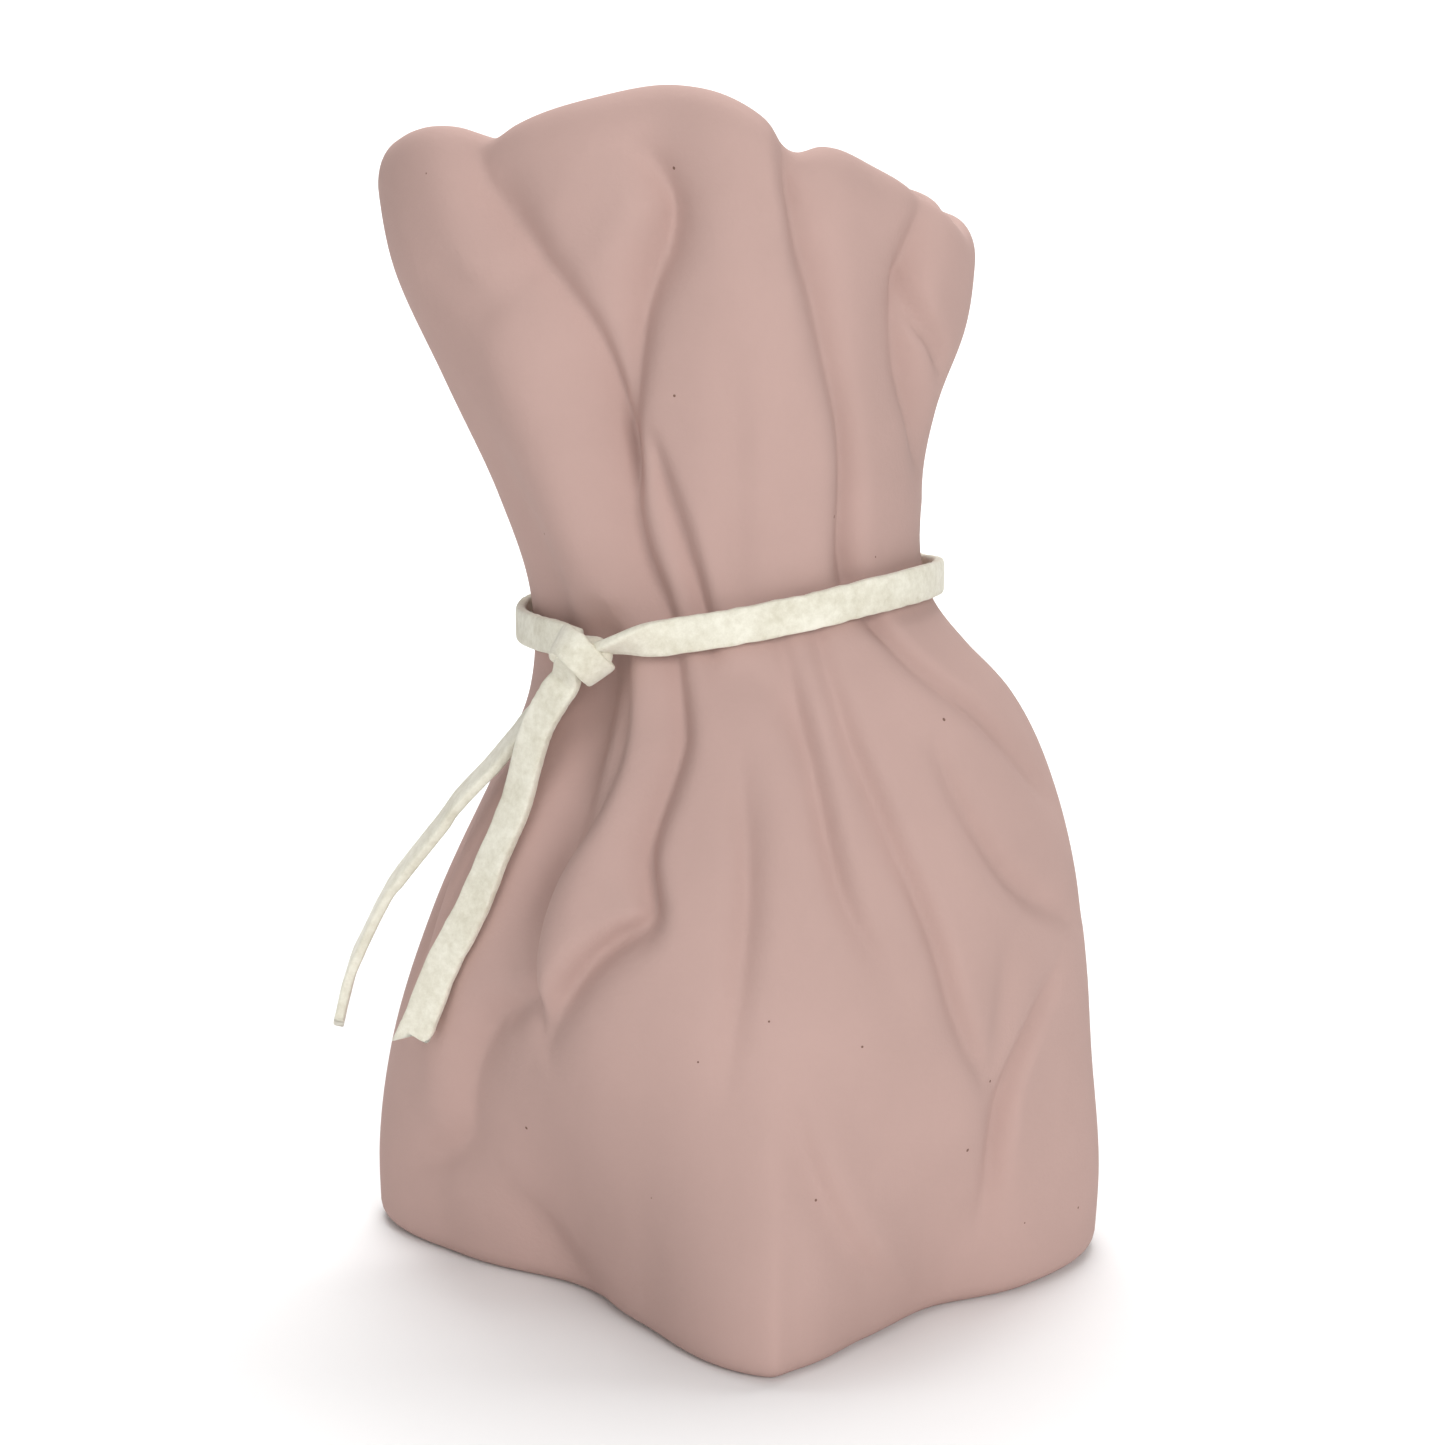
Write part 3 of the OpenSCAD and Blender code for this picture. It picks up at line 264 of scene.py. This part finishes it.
def curve(x, y, q):
    """Smooth curve through the points (x, y), flat beyond its ends; y may hold a row for each x."""
    x, y = np.asarray(x, float), np.asarray(y, float)
    run = np.diff(x).reshape(-1, *[1] * (y.ndim - 1))
    rate = np.diff(y, axis=0) / run
    slope = np.empty_like(y)
    slope[1:-1] = (rate[:-1] * run[1:] + rate[1:] * run[:-1]) / (run[1:] + run[:-1])
    slope[0], slope[-1] = rate[0], rate[-1]
    q = np.clip(q, x[0], x[-1])
    i = np.clip(np.searchsorted(x, q, side="right") - 1, 0, len(x) - 2)
    step = x[i + 1] - x[i]
    t = (q - x[i]) / step

    def at(rows, k):
        if y.ndim == 1:
            return rows[k]
        return np.take_along_axis(rows, k[None], 0)[0]

    return (
        (2 * t**3 - 3 * t**2 + 1) * at(y, i)
        + (t**3 - 2 * t**2 + t) * step * at(slope, i)
        + (3 * t**2 - 2 * t**3) * at(y, i + 1)
        + (t**3 - t**2) * step * at(slope, i + 1)
    )


def turned(a):
    """Bearings brought to between -180 and 180."""
    return (np.asarray(a, float) + 180) % 360 - 180


def ring_curve(x, y, a):
    """The same curve closed into a ring of bearings."""
    x, y = list(x), list(y)
    around = [v - 360 for v in x[-3:]] + x + [v + 360 for v in x[:3]]
    return curve(around, y[-3:] + y + y[:3], turned(a))


def wave(table, a):
    """The heights of a table of bearings and heights, at bearings a."""
    return ring_curve(*zip(*table), a)


def route(points, steps):
    """Smooth route through the points, with a given number of steps a stretch."""
    p = np.array(points, float)
    p = np.concatenate([2 * p[:1] - p[1:2], p, 2 * p[-1:] - p[-2:-1]])
    out = []
    for a, b, c, d in zip(p[:-3], p[1:-2], p[2:-1], p[3:]):
        for k in range(steps):
            t = k / steps
            bend = 2 * a - 5 * b + 4 * c - d + t * (3 * b - a - 3 * c + d)
            out.append(b + t / 2 * (c - a + t * bend))
    return np.array(out + [p[-2]])


def unit(v):
    return v / np.linalg.norm(v, axis=-1, keepdims=True)


def quarter(t):
    """A quarter of a circle: 0 at 0, and steeper up to 1 at 1."""
    return 1 - np.sqrt(np.maximum(1 - np.clip(t, 0, 1) ** 2, 0))


def polar(r, a, z):
    """Points at a radius, a bearing and a height."""
    a = np.radians(a)
    return np.stack([r * np.sin(a), -r * np.cos(a), z + 0 * a], -1)


# --- The vessel's surface ---


def body_r(a, h):
    """Smooth radius, before the folds, at bearings a and heights h."""
    rows = np.array([mean + ring_curve(PLAN, adds, a) for _, mean, adds in SECTIONS])
    return curve([s[0] for s in SECTIONS], rows, h)


STROKE_STEPS = 4  # to each stretch of a stroke
REACH_DEG, REACH_MM = 40, 18  # how far past its points a stroke is worked out
SIDE_BLEND = 1.2  # run over which the widths of a stroke's two sides change into each other
CREASE_FALL = 1.15  # how steep a crease is
SHOULDER_SPREAD = 5  # square of how much wider than the fold the swell beside it is
STRETCH_BLEND, BLEND_GROWS = 0.25, 0.35  # run that blends stretches, and what each mm of gap adds


def stroke_relief(a, h, radius, stroke, sharp):
    """What one stroke adds to the radius.

    Near stretches are blended, so that no edge shows between them.
    """
    pts = route(stroke, STROKE_STEPS)
    pts[:, 3:] = np.maximum(pts[:, 3:], 1)
    middle = (pts[:, 0].min() + pts[:, 0].max()) / 2
    half = (pts[:, 0].max() - pts[:, 0].min()) / 2 + REACH_DEG
    near = (h > pts[:, 1].min() - REACH_MM) & (h < pts[:, 1].max() + REACH_MM)
    near &= abs(turned(a - middle)) < half
    mm_deg = np.radians(1) * radius[near]
    here, high = turned(a[near] - middle) + middle, h[near]
    gaps, values = [], []
    for p, q in zip(pts[:-1], pts[1:]):
        ax, ay = (here - p[0]) * mm_deg, high - p[1]
        dx, dy = (q[0] - p[0]) * mm_deg, q[1] - p[1]
        t = np.clip((ax * dx + ay * dy) / (dx * dx + dy * dy), 0, 1)
        gap2 = (ax - t * dx) ** 2 + (ay - t * dy) ** 2
        side = np.clip((dx * ay - dy * ax) / np.sqrt(dx * dx + dy * dy) / SIDE_BLEND + 0.5, 0, 1)
        rise, one, other = (mix(p[k], q[k], t) for k in (2, 3, 4))
        width = mix(one, other, side)
        far = gap2 / width**2
        u = CREASE_FALL * (np.sqrt(gap2 + CREASE_R**2) - CREASE_R) / width
        form = np.exp(-u - u * u / 2) if sharp else np.exp(-far)
        values.append(rise * (form - SHOULDER * np.exp(-far / SHOULDER_SPREAD)))
        gaps.append(np.sqrt(gap2))
    gaps, values = np.array(gaps), np.array(values)
    least = gaps.min(0)
    past = (gaps - least) / (STRETCH_BLEND + BLEND_GROWS * least)
    weight = np.exp(-np.minimum(past, 30) ** 2)
    out = np.zeros_like(h)
    out[near] = (weight * values).sum(0) / weight.sum(0)
    return out


def folded_r(a, h):
    """Radius with every fold."""
    smooth = body_r(a, h)
    radius = smooth.copy()
    for strokes, sharp in ((CREASES, True), (SWELLS, False)):
        for stroke in strokes:
            radius += stroke_relief(a, h, smooth, stroke, sharp)
    return radius


def real_height(a, h):
    """Height on the vessel of a height h on the same vessel with a level rim."""
    t = np.clip((h - RIM_FROM) / (VESSEL_H - RIM_FROM), 0, 1)
    return h + (t * t * (3 - 2 * t) + t) / 2 * wave(RIM, a)


# --- Meshes ---


def linked(name, data):
    """A new object in the scene."""
    thing = bpy.data.objects.new(name, data)
    bpy.context.scene.collection.objects.link(thing)
    return thing


def smooth_mesh(name, points, faces, material):
    """A smooth-shaded mesh, from points in metres."""
    mesh = bpy.data.meshes.new(name)
    mesh.from_pydata(points, [], faces)
    mesh.polygons.foreach_set("use_smooth", [True] * len(mesh.polygons))
    mesh.materials.append(material)
    mesh.update()
    return mesh


def mesh_piece(name, points, faces, material, body):
    """A piece of the object, from points in millimetres."""
    piece = linked(name, smooth_mesh(name, (np.asarray(points) * MM).tolist(), faces, material))
    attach(piece, body)
    return piece


def quads(rows, n, loop=False):
    """Faces of a tube: rows of n points each, and the tube closed on itself with loop."""
    i, j = np.meshgrid(np.arange(rows if loop else rows - 1), np.arange(n), indexing="ij")
    low, high, after = i * n, (i + 1) % rows * n, (j + 1) % n
    return np.stack([low + j, low + after, high + after, high + j], -1).reshape(-1, 4).tolist()


def poles(rows, n):
    """Faces that close such a tube onto two points, which follow its rows."""
    last, start, end = (rows - 1) * n, rows * n, rows * n + 1
    faces = [[(k + 1) % n, k, start] for k in range(n)]
    return faces + [[last + k, last + (k + 1) % n, end] for k in range(n)]


# --- The camera ---

TARGET = (0, 0, 0.078)
DISTANCE, PITCH = 0.3, 8


def camera():
    data = bpy.data.cameras.new("camera")
    data.lens = 50
    data.sensor_width = 36
    thing = linked("camera", data)
    tilt = math.radians(PITCH)
    back = Vector((0, -math.cos(tilt), math.sin(tilt)))
    thing.location = Vector(TARGET) + back * DISTANCE
    thing.rotation_mode = "QUATERNION"
    thing.rotation_quaternion = (-back).to_track_quat("-Z", "Y")
    bpy.context.scene.camera = thing


camera()

# --- Materials ---


def linear(code):
    """A linear colour from an sRGB hex code."""
    parts = [int(code[k : k + 2], 16) / 255 for k in (0, 2, 4)]
    return [v / 12.92 if v <= 0.04045 else ((v + 0.055) / 1.055) ** 2.4 for v in parts] + [1.0]


def add(tree, kind, values=None, **settings):
    """A new node with its settings. Its inputs are set, or linked where a value is a socket."""
    node = tree.nodes.new("ShaderNode" + kind)
    for key, value in settings.items():
        setattr(node, key, value)
    for key, value in (values or {}).items():
        if isinstance(value, bpy.types.NodeSocket):
            tree.links.new(value, node.inputs[key])
        else:
            node.inputs[key].default_value = value
    return node


def new_material(name):
    """A material with a bare Principled shader: its tree, the shader and Object coordinates."""
    material = bpy.data.materials.new(name)
    material.use_nodes = True
    tree = material.node_tree
    shader = tree.nodes["Principled BSDF"]
    where = add(tree, "TexCoord").outputs["Object"]
    return material, tree, shader, where


def ramp(tree, value, stops):
    node = add(tree, "ValToRGB", {"Fac": value})
    while len(node.color_ramp.elements) < len(stops):
        node.color_ramp.elements.new(0.5)
    for element, (place, color) in zip(node.color_ramp.elements, stops):
        element.position = place
        element.color = color if hasattr(color, "__len__") else (color, color, color, 1)
    return node.outputs["Color"]


# Pinholes: share of the cells that hold none, largest radius in a cell, and depth against the grain
PINHOLE_FREE, PINHOLE_R, PINHOLE_DEPTH = 0.93, 0.1, -1.5


def bisque():
    """Unglazed cast body, dyed dusty pink: dead matte, faintly mottled, with fine pinholes whose insides
    are darkened with painted shade.
    """
    material, tree, shader, where = new_material("bisque_dusty_pink")
    mottle = add(tree, "TexNoise", {"Vector": where, "Scale": 38, "Detail": 3, "Roughness": 0.55})
    tone = ramp(tree, mottle.outputs["Fac"], [(0.3, linear("B79A92")), (0.7, linear("BD9F97"))])
    # Pinholes: few of the cells hold one; each is a pit in the bump, coloured dark brown as painted
    # shade
    cells = add(tree, "TexVoronoi", {"Vector": where, "Scale": 330, "Randomness": 1})
    chosen = add(tree, "SeparateColor", {"Color": cells.outputs["Color"]})
    red, green = chosen.outputs["Red"], chosen.outputs["Green"]
    rare = add(tree, "Math", {0: red, 1: PINHOLE_FREE}, operation="GREATER_THAN")
    radius = add(tree, "Math", {0: green, 1: PINHOLE_R}, operation="MULTIPLY").outputs[0]
    inside = add(tree, "Math", {0: cells.outputs["Distance"], 1: radius}, operation="LESS_THAN")
    hole = add(tree, "Math", {0: rare.outputs[0], 1: inside.outputs[0]}, operation="MULTIPLY").outputs[0]
    # Painted shade: the pinholes' dark brown colour stands in for the shade inside the pits
    painted_hole_shade = add(tree, "Mix", {"Factor": hole, 6: tone, 7: linear("76594F")}, data_type="RGBA")
    tree.links.new(painted_hole_shade.outputs[2], shader.inputs["Base Color"])
    grain = add(tree, "TexNoise", {"Vector": where, "Scale": 1400, "Detail": 2})
    pits = {0: hole, 1: PINHOLE_DEPTH, 2: grain.outputs["Fac"]}
    height = add(tree, "Math", pits, operation="MULTIPLY_ADD")
    bump = add(tree, "Bump", {"Height": height.outputs[0], "Strength": 0.16, "Distance": 0.0003})
    tree.links.new(bump.outputs["Normal"], shader.inputs["Normal"])
    shader.inputs["Roughness"].default_value = 0.82
    shader.inputs["Specular IOR Level"].default_value = 0.25
    return material


def suede():
    """Cream split suede: short nap, matte, slightly darker where the nap lies over."""
    material, tree, shader, where = new_material("suede_cream")
    nap = add(tree, "TexNoise", {"Vector": where, "Scale": 900, "Detail": 5, "Roughness": 0.7})
    patch = add(tree, "TexNoise", {"Vector": where, "Scale": 160, "Detail": 3, "Roughness": 0.6})
    both = add(tree, "Math", {0: nap.outputs["Fac"], 1: patch.outputs["Fac"]}, operation="ADD")
    half = add(tree, "Math", {0: both.outputs[0], 1: 0.5}, operation="MULTIPLY")
    tone = ramp(tree, half.outputs[0], [(0.36, linear("D2CDBA")), (0.6, linear("EAE7D8"))])
    tree.links.new(tone, shader.inputs["Base Color"])
    bump = add(tree, "Bump", {"Height": half.outputs[0], "Strength": 0.45, "Distance": 0.0004})
    tree.links.new(bump.outputs["Normal"], shader.inputs["Normal"])
    shader.inputs["Roughness"].default_value = 0.95
    shader.inputs["Specular IOR Level"].default_value = 0.1
    shader.inputs["Sheen Weight"].default_value = 0.25
    shader.inputs["Sheen Roughness"].default_value = 0.5
    return material


def table_top():
    """Plain white table."""
    material, _, shader, _ = new_material("table_white")
    shader.inputs["Base Color"].default_value = linear("F2F2F2")
    shader.inputs["Roughness"].default_value = 0.7
    return material


BISQUE, SUEDE = bisque(), suede()

# --- The lace ---

KNOT_CLEAR = 0.1
KNOT_AT = polar(WAIST_R + LACE_STAND + LACE_T + KNOT_CLEAR, KNOT_BEARING, WAIST_H - KNOT_DROP)
UP = np.array([0, 0, 1.0])
SECTION_POINTS = 20
TAIL_STEPS = 12  # to each stretch of a free end
PINCH, PINCH_RUN = 0.3, 40  # share of the width that the knot takes, and rings until it is back
# Unevenness of the cut edges and of the faces: rings from value to value, and spread in millimetres
EDGE_WAVER, FACE_WAVER = (3, 0.045), (5, 0.03)
LOOP_FADE = 6  # rings over which the unevenness fades out where a closed lace meets itself


def lace_section():
    """Steps along the width and the thickness of a cut lace.

    Its faces are flat and its cut edges slightly rounded.
    """
    n = SECTION_POINTS
    s = np.linspace(0, 2 * np.pi, n, endpoint=False) + np.pi / n
    x, y = np.cos(s), np.sin(s)
    wide = np.sign(x) * abs(x) ** 0.35
    thick = np.sign(y) * abs(y) ** 0.45
    return wide, thick


def waver(count, step, size, seed):
    """Smooth noise along a lace: one value a ring."""
    rng = np.random.default_rng(seed)
    knots = rng.normal(0, size, int(count / step) + 4)
    return np.interp(np.arange(count) / step, np.arange(len(knots)), knots)


def lace(name, middles, across, outward, body, seed, loop=False, width=LACE_W):
    """A lace swept along its middles, with slightly uneven cut edges and closed ends."""
    wide_step, thick_step = lace_section()
    count, n = len(middles), len(wide_step)
    edges = [waver(count, *EDGE_WAVER, seed + k)[:, None] for k in range(2)]
    sides = [waver(count, *FACE_WAVER, seed + 2 + k)[:, None] for k in range(2)]
    width = np.reshape(width, (-1, 1))
    half_w = width / 2 + np.where(wide_step > 0, *edges)
    half_t = LACE_T / 2 + np.where(thick_step > 0, *sides)
    if loop:
        ring = np.arange(count)
        fade = np.clip(np.minimum(ring, count - 1 - ring) / LOOP_FADE, 0, 1)[:, None]
        half_w, half_t = mix(width / 2, half_w, fade), mix(LACE_T / 2, half_t, fade)
    rings = (
        middles[:, None]
        + (half_w * wide_step)[..., None] * across[:, None]
        + (half_t * thick_step)[..., None] * outward[:, None]
    )
    faces = quads(count, n, loop)
    if not loop:
        last = (count - 1) * n
        faces += [list(range(n - 1, -1, -1)), [last + k for k in range(n)]]
    return mesh_piece(name, rings.reshape(-1, 3), faces, SUEDE, body)


def tail(name, root, rows, cut, body, seed):
    """A free end of the lace, with its tip cut on a slant. Its root runs on into the knot."""
    path = route(root + rows, TAIL_STEPS)
    along = unit(np.gradient(path[:, :3], axis=0))
    a = np.radians(path[:, 3])
    faced = np.stack([np.sin(a), -np.cos(a), 0 * a], -1)
    across = unit(np.cross(faced, along))
    outward = np.cross(along, across)
    middles = KNOT_AT + path[:, :3]
    pinch = 1 - PINCH * np.clip(1 - np.arange(len(path)) / PINCH_RUN, 0, 1) ** 1.5
    piece = lace(name, middles, across, outward, body, seed, width=LACE_W * pinch)
    for v in list(piece.data.vertices)[-SECTION_POINTS:]:
        step = (np.array(v.co) / MM - middles[-1]) @ across[-1]
        v.co -= Vector(cut * step * along[-1] * MM)
    return piece


# Where each free end runs on into the knot
FRONT_ROOT = [[-1.2, -1.5, 1.2, -35], [-2.3, -1.2, -1.1, -35]]
SIDE_ROOT = [[-1, 1, 0.2, -60], [-2.2, 2.5, -1.2, -70]]
front = tail("suede_tail_front", FRONT_ROOT, FRONT_TAIL, 1, "front_tail", SEED)
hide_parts("lace_tail_front")
side = tail("suede_tail_side", SIDE_ROOT, SIDE_TAIL, 0.5, "side_tail", SEED + 10)
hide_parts("lace_tail_side")


def band():
    """The lace round the waist: it leaves the knot on edge and turns flat."""
    steps, leaves, returns = 420, 4, 354
    on_edge, turn_run = 82, 22
    along = np.linspace(KNOT_BEARING + leaves, KNOT_BEARING + returns, steps)
    a = turned(along)
    rise = wave(LACE, a)
    t = np.clip((along - along[0]) / turn_run, 0, 1)
    twist = np.radians(on_edge * (1 - t * t * (3 - 2 * t)))[:, None]
    out = polar(1, a, 0)
    reach = (
        body_r(a, WAIST_H + rise) + LACE_STAND
        + LACE_T / 2 * np.cos(twist[:, 0]) + LACE_W / 2 * np.sin(twist[:, 0])
    )
    middles = reach[:, None] * out + (WAIST_H + rise)[:, None] * UP
    across = UP * np.cos(twist) + out * np.sin(twist)
    outward = out * np.cos(twist) - UP * np.sin(twist)
    piece = lace("suede_band", middles, -across, outward, "vase", SEED + 20)
    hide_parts("lace_band")


band()


# The flat turn that closes the knot: steps from the knot's middle to the side, outwards and up
KNOT_TURN = [
    [-3.7, 0.9, 0.9], [-2.3, 2.3, 1.9], [-0.5, 3.1, 1.7], [1.2, 3, 0.5], [2.3, 1.9, -1.2],
    [2.2, -0.1, -2.5], [0.4, -1.7, -2.3], [-1.7, -2, -1], [-3.4, -1, 0.1],
]

TURN_STEPS, TURN_WIDTH = 10, 0.92  # steps to each stretch, and share of the lace's width
CORE_ROWS, CORE_COLUMNS = 40, 36
CORE_R, CORE_LENGTH = 1.6 * LACE_T, 1.6 * LACE_W


def knot():
    """The knot: a flat turn pulled tight across a rounded core."""
    a = math.radians(KNOT_BEARING)
    side_way = np.array([math.cos(a), math.sin(a), 0])
    out = np.array([math.sin(a), -math.cos(a), 0])
    closed = route(KNOT_TURN[-2:] + KNOT_TURN + KNOT_TURN[:2], TURN_STEPS)
    path = closed[2 * TURN_STEPS : (2 + len(KNOT_TURN)) * TURN_STEPS]
    middles = path @ np.array([side_way, out, UP])
    along = unit(np.roll(middles, -1, 0) - np.roll(middles, 1, 0))
    across = unit(np.cross(along, middles))
    outward = np.cross(across, along)
    width = TURN_WIDTH * LACE_W
    turn = lace("suede_knot_turn", KNOT_AT + middles, -across, outward, "vase", SEED + 30, True, width)
    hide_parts("lace_knot")
    # Rounded core, a rod with round ends along the knot
    rows, n, r = CORE_ROWS, CORE_COLUMNS, CORE_R
    run = CORE_LENGTH / 2 - r
    t = np.linspace(0, np.pi, rows + 2)[1:-1]
    spin = np.linspace(0, 2 * np.pi, n, endpoint=False)
    where = np.cos(t) * r + np.sign(np.cos(t)) * run
    ring = np.cos(spin)[:, None] * out + np.sin(spin)[:, None] * UP
    skin = KNOT_AT + where[:, None, None] * side_way + (np.sin(t) * r)[:, None, None] * ring
    ends = [KNOT_AT + (r + run) * side_way, KNOT_AT - (r + run) * side_way]
    points = np.concatenate([skin.reshape(-1, 3), ends])
    mesh_piece("suede_knot_core", points, quads(rows, n) + poles(rows, n), SUEDE, "vase")


knot()

# --- The vessel ---


# Columns are closer together where the photo shows the vessel, between these bearings
SEEN = 100
SEEN_COLUMNS, BACK_COLUMNS = 330, 110
WALL_ROWS, LIP_ROWS = 168, 12
INSIDE_WALL_ROWS, INSIDE_LIP_ROWS, FLOOR_ROUND_ROWS = 30, 6, 7
INSIDE_LIP = 3
POLE_STEPS = [0.35, 0.7, 0.93]  # radii of the rings that close the foot and the floor


def vessel():
    """The cast body: one closed skin over the foot, the outside, the rim, the inside and the floor."""
    bearings = np.concatenate([
        np.linspace(-SEEN, SEEN, SEEN_COLUMNS, endpoint=False),
        np.linspace(SEEN, 360 - SEEN, BACK_COLUMNS, endpoint=False),
    ])
    n = len(bearings)
    lip_from = VESSEL_H - LIP_H
    outer = np.concatenate([
        [0, 0.15, 0.4, 0.8, 1.3, 2, 3],
        np.linspace(4, lip_from - 0.5, WALL_ROWS),
        lip_from + LIP_H * np.sin(np.linspace(0, np.pi / 2, LIP_ROWS))[1:],
    ])
    floor_round_to = FLOOR + FLOOR_ROUND
    inner = np.concatenate([
        VESSEL_H - INSIDE_LIP + INSIDE_LIP * np.sin(np.linspace(np.pi / 2, 0, INSIDE_LIP_ROWS))[1:],
        np.linspace(lip_from, floor_round_to + 1, INSIDE_WALL_ROWS),
        FLOOR + FLOOR_ROUND * (1 - np.sin(np.linspace(0, np.pi / 2, FLOOR_ROUND_ROWS))),
    ])
    a, h = np.meshgrid(bearings, outer)
    z = real_height(a, h)
    lip = LIP_W * quarter((h - VESSEL_H + LIP_H) / LIP_H)
    foot_round = FOOT_ROUND * quarter((FOOT_ROUND - z) / FOOT_ROUND)
    outside = polar(folded_r(a, h) - (lip + foot_round), a, z)
    a, h = np.meshgrid(bearings, inner)
    z = real_height(a, h)
    over = (WALL - LIP_W) * quarter((h - VESSEL_H + INSIDE_LIP) / INSIDE_LIP)
    under = FLOOR_ROUND * quarter((floor_round_to - h) / FLOOR_ROUND)
    inside = polar(folded_r(a, h) - WALL + over - under, a, z)
    # Rings from the middle of the foot, up the outside, over the rim, down the inside to the floor
    shrink = np.array(POLE_STEPS)[:, None, None]
    foot = outside[:1] * shrink
    floor = inside[-1:] * np.array([1, 1, 0]) * shrink[::-1] + np.array([0, 0, FLOOR])
    rings = np.concatenate([foot, outside, inside, floor])
    rows = len(rings)
    points = np.concatenate([rings.reshape(-1, 3), [[0, 0, 0], [0, 0, FLOOR]]])
    faces = quads(rows, n) + poles(rows, n)
    piece = mesh_piece("cast_body", points, faces, BISQUE, "vase")
    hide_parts("vessel")


vessel()

# --- The table and the lights ---


def aim(thing, place, target):
    thing.location = place
    thing.rotation_mode = "QUATERNION"
    thing.rotation_quaternion = (Vector(target) - Vector(place)).to_track_quat("-Z", "Y")


def light(name, place, size, watts, target=TARGET):
    data = bpy.data.lights.new(name, "AREA")
    data.shape = "SQUARE"
    data.size = size
    data.energy = watts
    thing = linked(name, data)
    aim(thing, place, target)


def table():
    """The table, which runs back and curves up into a backdrop."""
    half, bend_from, bend_r, top = 3, 1.2, 0.8, 3
    sweep = [(-half, 0), (bend_from, 0)]
    for t in np.linspace(0, math.pi / 2, 13)[1:]:
        sweep.append((bend_from + bend_r * math.sin(t), bend_r - bend_r * math.cos(t)))
    sweep.append((bend_from + bend_r, top))
    points = [(x, y, z) for y, z in sweep for x in (-half, half)]
    faces = [(k, k + 1, k + 3, k + 2) for k in range(0, len(points) - 2, 2)]
    linked("table", smooth_mesh("table", points, faces, table_top()))


table()
light("key", (0.45, -0.85, 0.45), size=0.4, watts=4.6)
light("fill", (-0.5, -0.75, 0.30), size=0.6, watts=1.6)
light("top", (0, -0.5, 1.0), size=0.8, watts=2)
light("backdrop", (0, 0.5, 1.8), size=1.2, watts=50, target=(0, 1.9, 0.5))

world = bpy.data.worlds.new("studio")
world.use_nodes = True
world.node_tree.nodes["Background"].inputs["Color"].default_value = (1, 1, 1, 1)
world.node_tree.nodes["Background"].inputs["Strength"].default_value = 0.2
bpy.context.scene.world = world
bpy.context.scene.view_settings.view_transform = "Standard"
